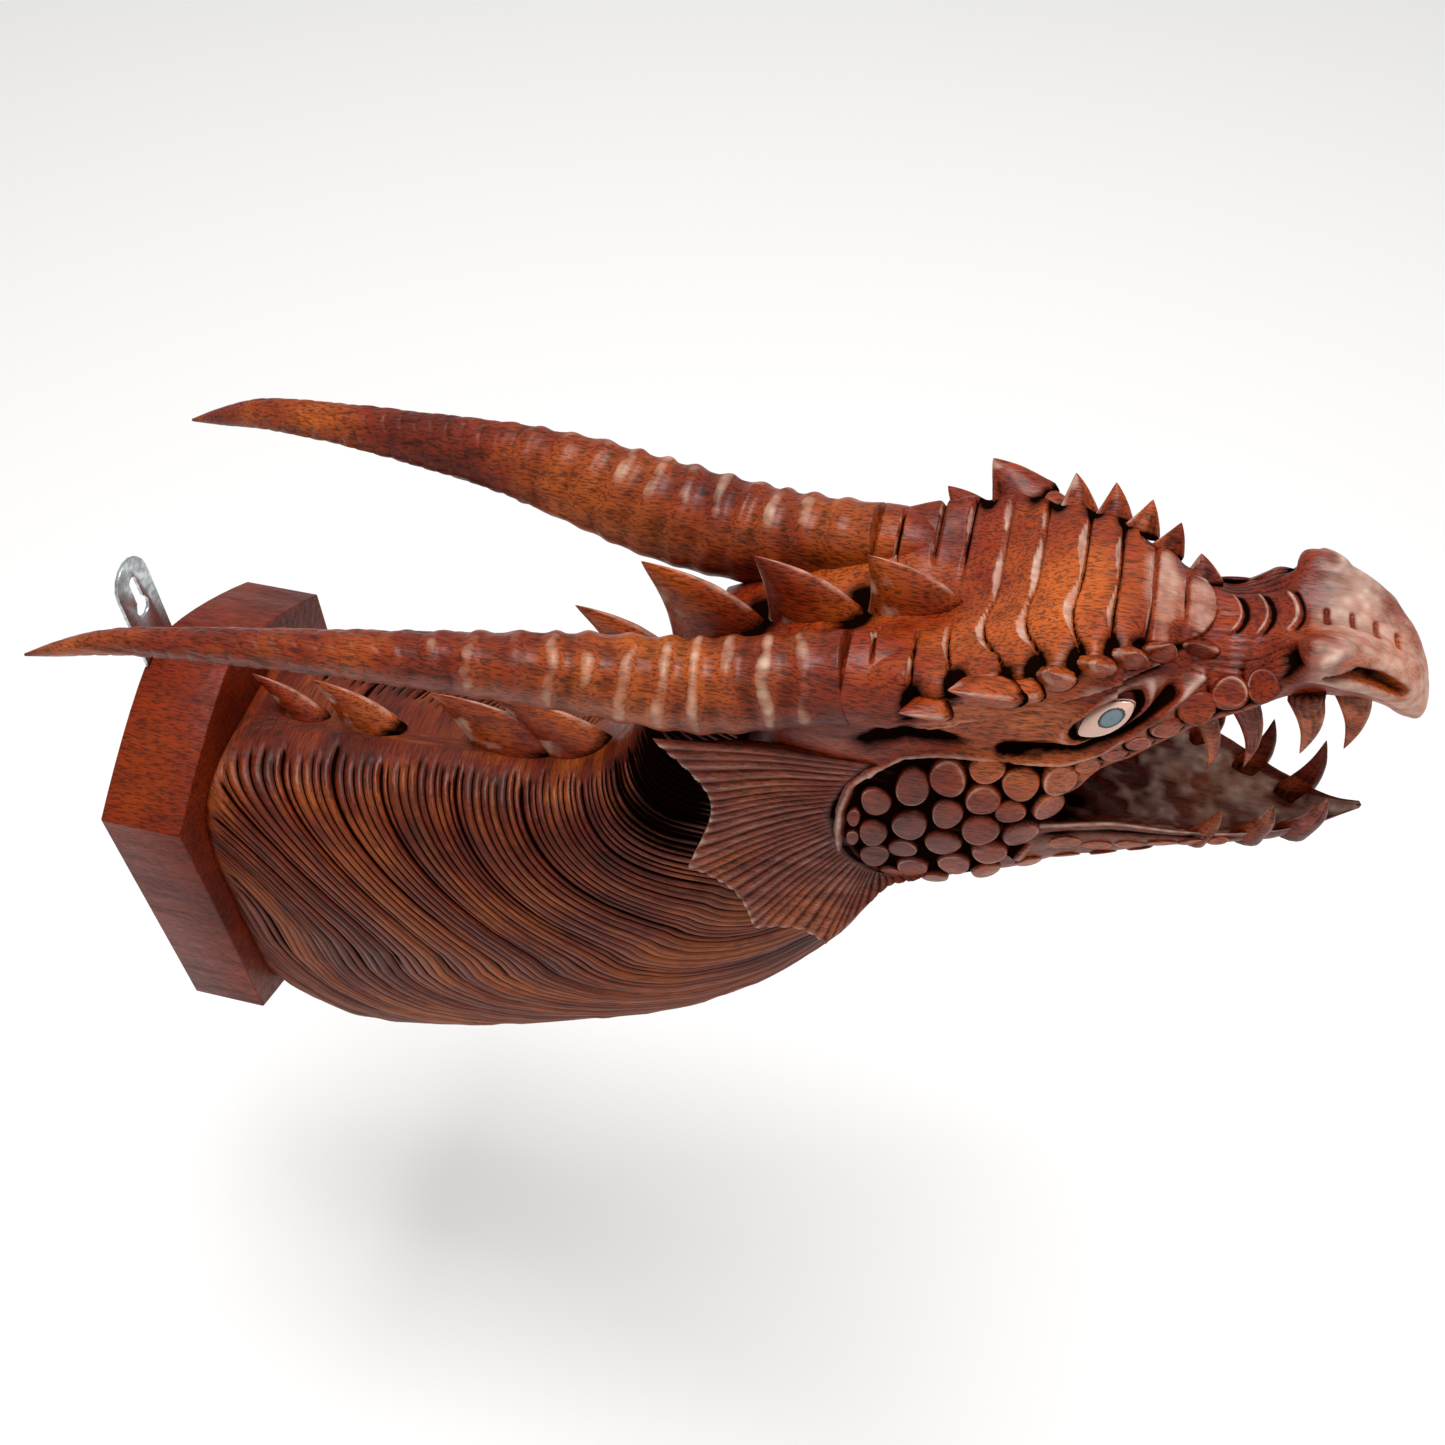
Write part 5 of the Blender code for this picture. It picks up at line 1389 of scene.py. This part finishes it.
class CARVING_OT_spikes(CarvingOperator, bpy.types.Operator):
    """Carve the spikes along the back and over the brows"""
    bl_idname = "carving.spikes"
    bl_label = "Spikes"

    def execute(self, context):
        wood = carved_material("Stained hardwood, carved and waxed")
        back = blade_shapes(BACK_SPIKES, (1,), bend=0.10, seed=300, plain=0.52, root_shade=0.45)
        brow = blade_shapes(BROW_SPIKES, (1, -1), bend=0.04, seed=400, plain=0.56, root_shade=0.50)
        carve("back_spikes", back, wood)
        carve("brow_spikes", brow, wood)
        return {"FINISHED"}


class CARVING_OT_teeth(CarvingOperator, bpy.types.Operator):
    """Carve the teeth"""
    bl_idname = "carving.teeth"
    bl_label = "Teeth"

    def execute(self, context):
        wood = carved_material("Stained hardwood, carved and waxed")
        teeth = blade_shapes(TEETH, (1, -1), bend=0.08, seed=500, plain=0.33, root_shade=0.05)
        carve("teeth", teeth, wood)
        return {"FINISHED"}


class CARVING_OT_fins(CarvingOperator, bpy.types.Operator):
    """Carve the ribbed fins behind the cheeks"""
    bl_idname = "carving.fins"
    bl_label = "Fins"

    def execute(self, context):
        # Painted shade: the fins' stain is darkened to 0.72 for their side faces
        wood = carved_material("Stained hardwood, ribbed fin", 0.72)
        for side, word in SIDES:
            carve(f"{word}_fin", fin_shape(side), wood)
        return {"FINISHED"}


class CARVING_OT_horns(CarvingOperator, bpy.types.Operator):
    """Carve the two long horns"""
    bl_idname = "carving.horns"
    bl_label = "Horns"

    def execute(self, context):
        sizes, _ = settings()
        wood = carved_material("Stained hardwood, gouged horn", 0.80, wax="#cfae93")
        for side, word in SIDES:
            horn = horn_shape(side, sizes.ring_spacing, sizes.ring_height)
            carve(f"{word}_horn_carved", horn, wood, "horn_wood", f"{word}_horn")
        return {"FINISHED"}


class CARVING_OT_eyes(CarvingOperator, bpy.types.Operator):
    """Set the painted eyes"""
    bl_idname = "carving.eyes"
    bl_label = "Eyes"

    def execute(self, context):
        _, colours = settings()
        paint = painted_eye("Painted and lacquered eye", hex_of(colours.eye), hex_of(colours.iris))
        for side, word in SIDES:
            vertices, faces, iris = eye_shape(side)
            make_piece(
                f"{word}_eye_painted", vertices, faces, paint, "eye_inlay", [f"{word}_eye"], iris=iris
            )
        return {"FINISHED"}


class CARVING_OT_board(CarvingOperator, bpy.types.Operator):
    """Make the backing board"""
    bl_idname = "carving.board"
    bl_label = "Board"

    def execute(self, context):
        sizes, colours = settings()
        wood = stained_wood(
            "Stained hardwood, planed board", "#4c0f02", hex_of(colours.board), "#893208",
            carved=False, fleck=0.9,
        )
        edged_copy("wall_board", "backing_board", sizes.arris, wood)
        return {"FINISHED"}


class CARVING_OT_hanger(CarvingOperator, bpy.types.Operator):
    """Make the steel keyhole hanger and its screws"""
    bl_idname = "carving.hanger"
    bl_label = "Hanger"

    def execute(self, context):
        steel = zinc_steel("Zinc plated steel")
        edged_copy("hanger_plate", "keyhole_hanger", PLATE_EDGE, steel, STEEL_ANGLE)
        for word in ("lower", "upper"):
            edged_copy(f"hanger_screw_{word}", f"{word}_screw", SCREW_EDGE, steel, STEEL_ANGLE)
        return {"FINISHED"}


def soft_light(name, size, power, place_at, aim):
    """A round area light of that diameter, turned to what it aims at."""
    light = bpy.data.lights.new(name, "AREA")
    light.shape = "DISK"
    light.size = size
    light.energy = power
    holder = put(name, light)
    holder.location = place_at
    holder.rotation_euler = (Vector(aim) - Vector(place_at)).to_track_quat("-Z", "Y").to_euler()


class CARVING_OT_stage(CarvingOperator, bpy.types.Operator):
    """Set the pale floor, the soft lights and the camera"""
    bl_idname = "carving.stage"
    bl_label = "Stage"

    def execute(self, context):
        stage = context.scene.carving_stage
        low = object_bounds()[0].z - stage.floor_drop
        side = 8.0
        mesh = bpy.data.meshes.new("studio_floor")
        corners = [(-side, -side, low), (side, -side, low), (side, side, low), (-side, side, low)]
        mesh.from_pydata(corners, [], [(0, 1, 2, 3)])
        mesh.materials.append(studio_floor("Matt studio floor", "#fbfaf9"))
        floor = put("studio_floor", mesh)
        floor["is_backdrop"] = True
        middle = (0, -0.25, 0.07)
        soft_light("key light", 1.3, stage.key_power, (0.0, -0.30, 2.5), middle)
        soft_light("fill light", 1.6, stage.fill_power, (-1.5, -0.6, 0.5), middle)
        world = bpy.data.worlds.new("pale room")
        world.use_nodes = True
        world.node_tree.nodes["Background"].inputs["Color"].default_value = linear("#ffffff")
        world.node_tree.nodes["Background"].inputs["Strength"].default_value = 0.55
        context.scene.world = world
        context.scene.view_settings.view_transform = "Standard"
        camera = bpy.data.cameras.new("photograph")
        camera.sensor_width = 36
        camera.lens = stage.lens
        camera.clip_start = 0.02
        holder = put("photograph", camera)
        level = math.cos(stage.elevation)
        back = Vector((
            math.sin(stage.azimuth) * level, -math.cos(stage.azimuth) * level, math.sin(stage.elevation)
        ))
        holder.location = Vector(place(CAMERA_PLACE))
        holder.rotation_euler = (-back).to_track_quat("-Z", "Y").to_euler()
        context.scene.camera = holder
        return {"FINISHED"}


STEPS = [
    CARVING_OT_neck, CARVING_OT_head, CARVING_OT_jaw, CARVING_OT_bosses, CARVING_OT_spikes,
    CARVING_OT_teeth, CARVING_OT_fins, CARVING_OT_horns, CARVING_OT_eyes, CARVING_OT_board,
    CARVING_OT_hanger, CARVING_OT_stage,
]


class CARVING_PT_panel(bpy.types.Panel):
    """Sizes, colours and pieces of the carving"""
    bl_idname = "CARVING_PT_panel"
    bl_label = "Dragon Head Wall Carving"
    bl_space_type = "VIEW_3D"
    bl_region_type = "UI"
    bl_category = "Carving"

    def draw(self, context):
        scene = context.scene
        for group in (scene.carving_sizes, scene.carving_colours, scene.carving_stage):
            box = self.layout.box()
            for name in group.bl_rna.properties.keys():
                if name not in ("name", "rna_type"):
                    box.prop(group, name)
        for step in STEPS:
            self.layout.operator(step.bl_idname)


GROUPS = [CarvingSizes, CarvingColours, StageSettings]


def register():
    for kind in GROUPS + STEPS + [CARVING_PT_panel]:
        bpy.utils.register_class(kind)
    bpy.types.Scene.carving_sizes = bpy.props.PointerProperty(type=CarvingSizes)
    bpy.types.Scene.carving_colours = bpy.props.PointerProperty(type=CarvingColours)
    bpy.types.Scene.carving_stage = bpy.props.PointerProperty(type=StageSettings)


def unregister():
    del bpy.types.Scene.carving_stage
    del bpy.types.Scene.carving_colours
    del bpy.types.Scene.carving_sizes
    for kind in reversed(GROUPS + STEPS + [CARVING_PT_panel]):
        bpy.utils.unregister_class(kind)


def main():
    register()
    bpy.ops.carving.neck()
    bpy.ops.carving.head()
    bpy.ops.carving.jaw()
    bpy.ops.carving.bosses()
    bpy.ops.carving.spikes()
    bpy.ops.carving.teeth()
    bpy.ops.carving.fins()
    bpy.ops.carving.horns()
    bpy.ops.carving.eyes()
    bpy.ops.carving.board()
    bpy.ops.carving.hanger()
    bpy.ops.carving.stage()


if __name__ == "__main__":
    main()
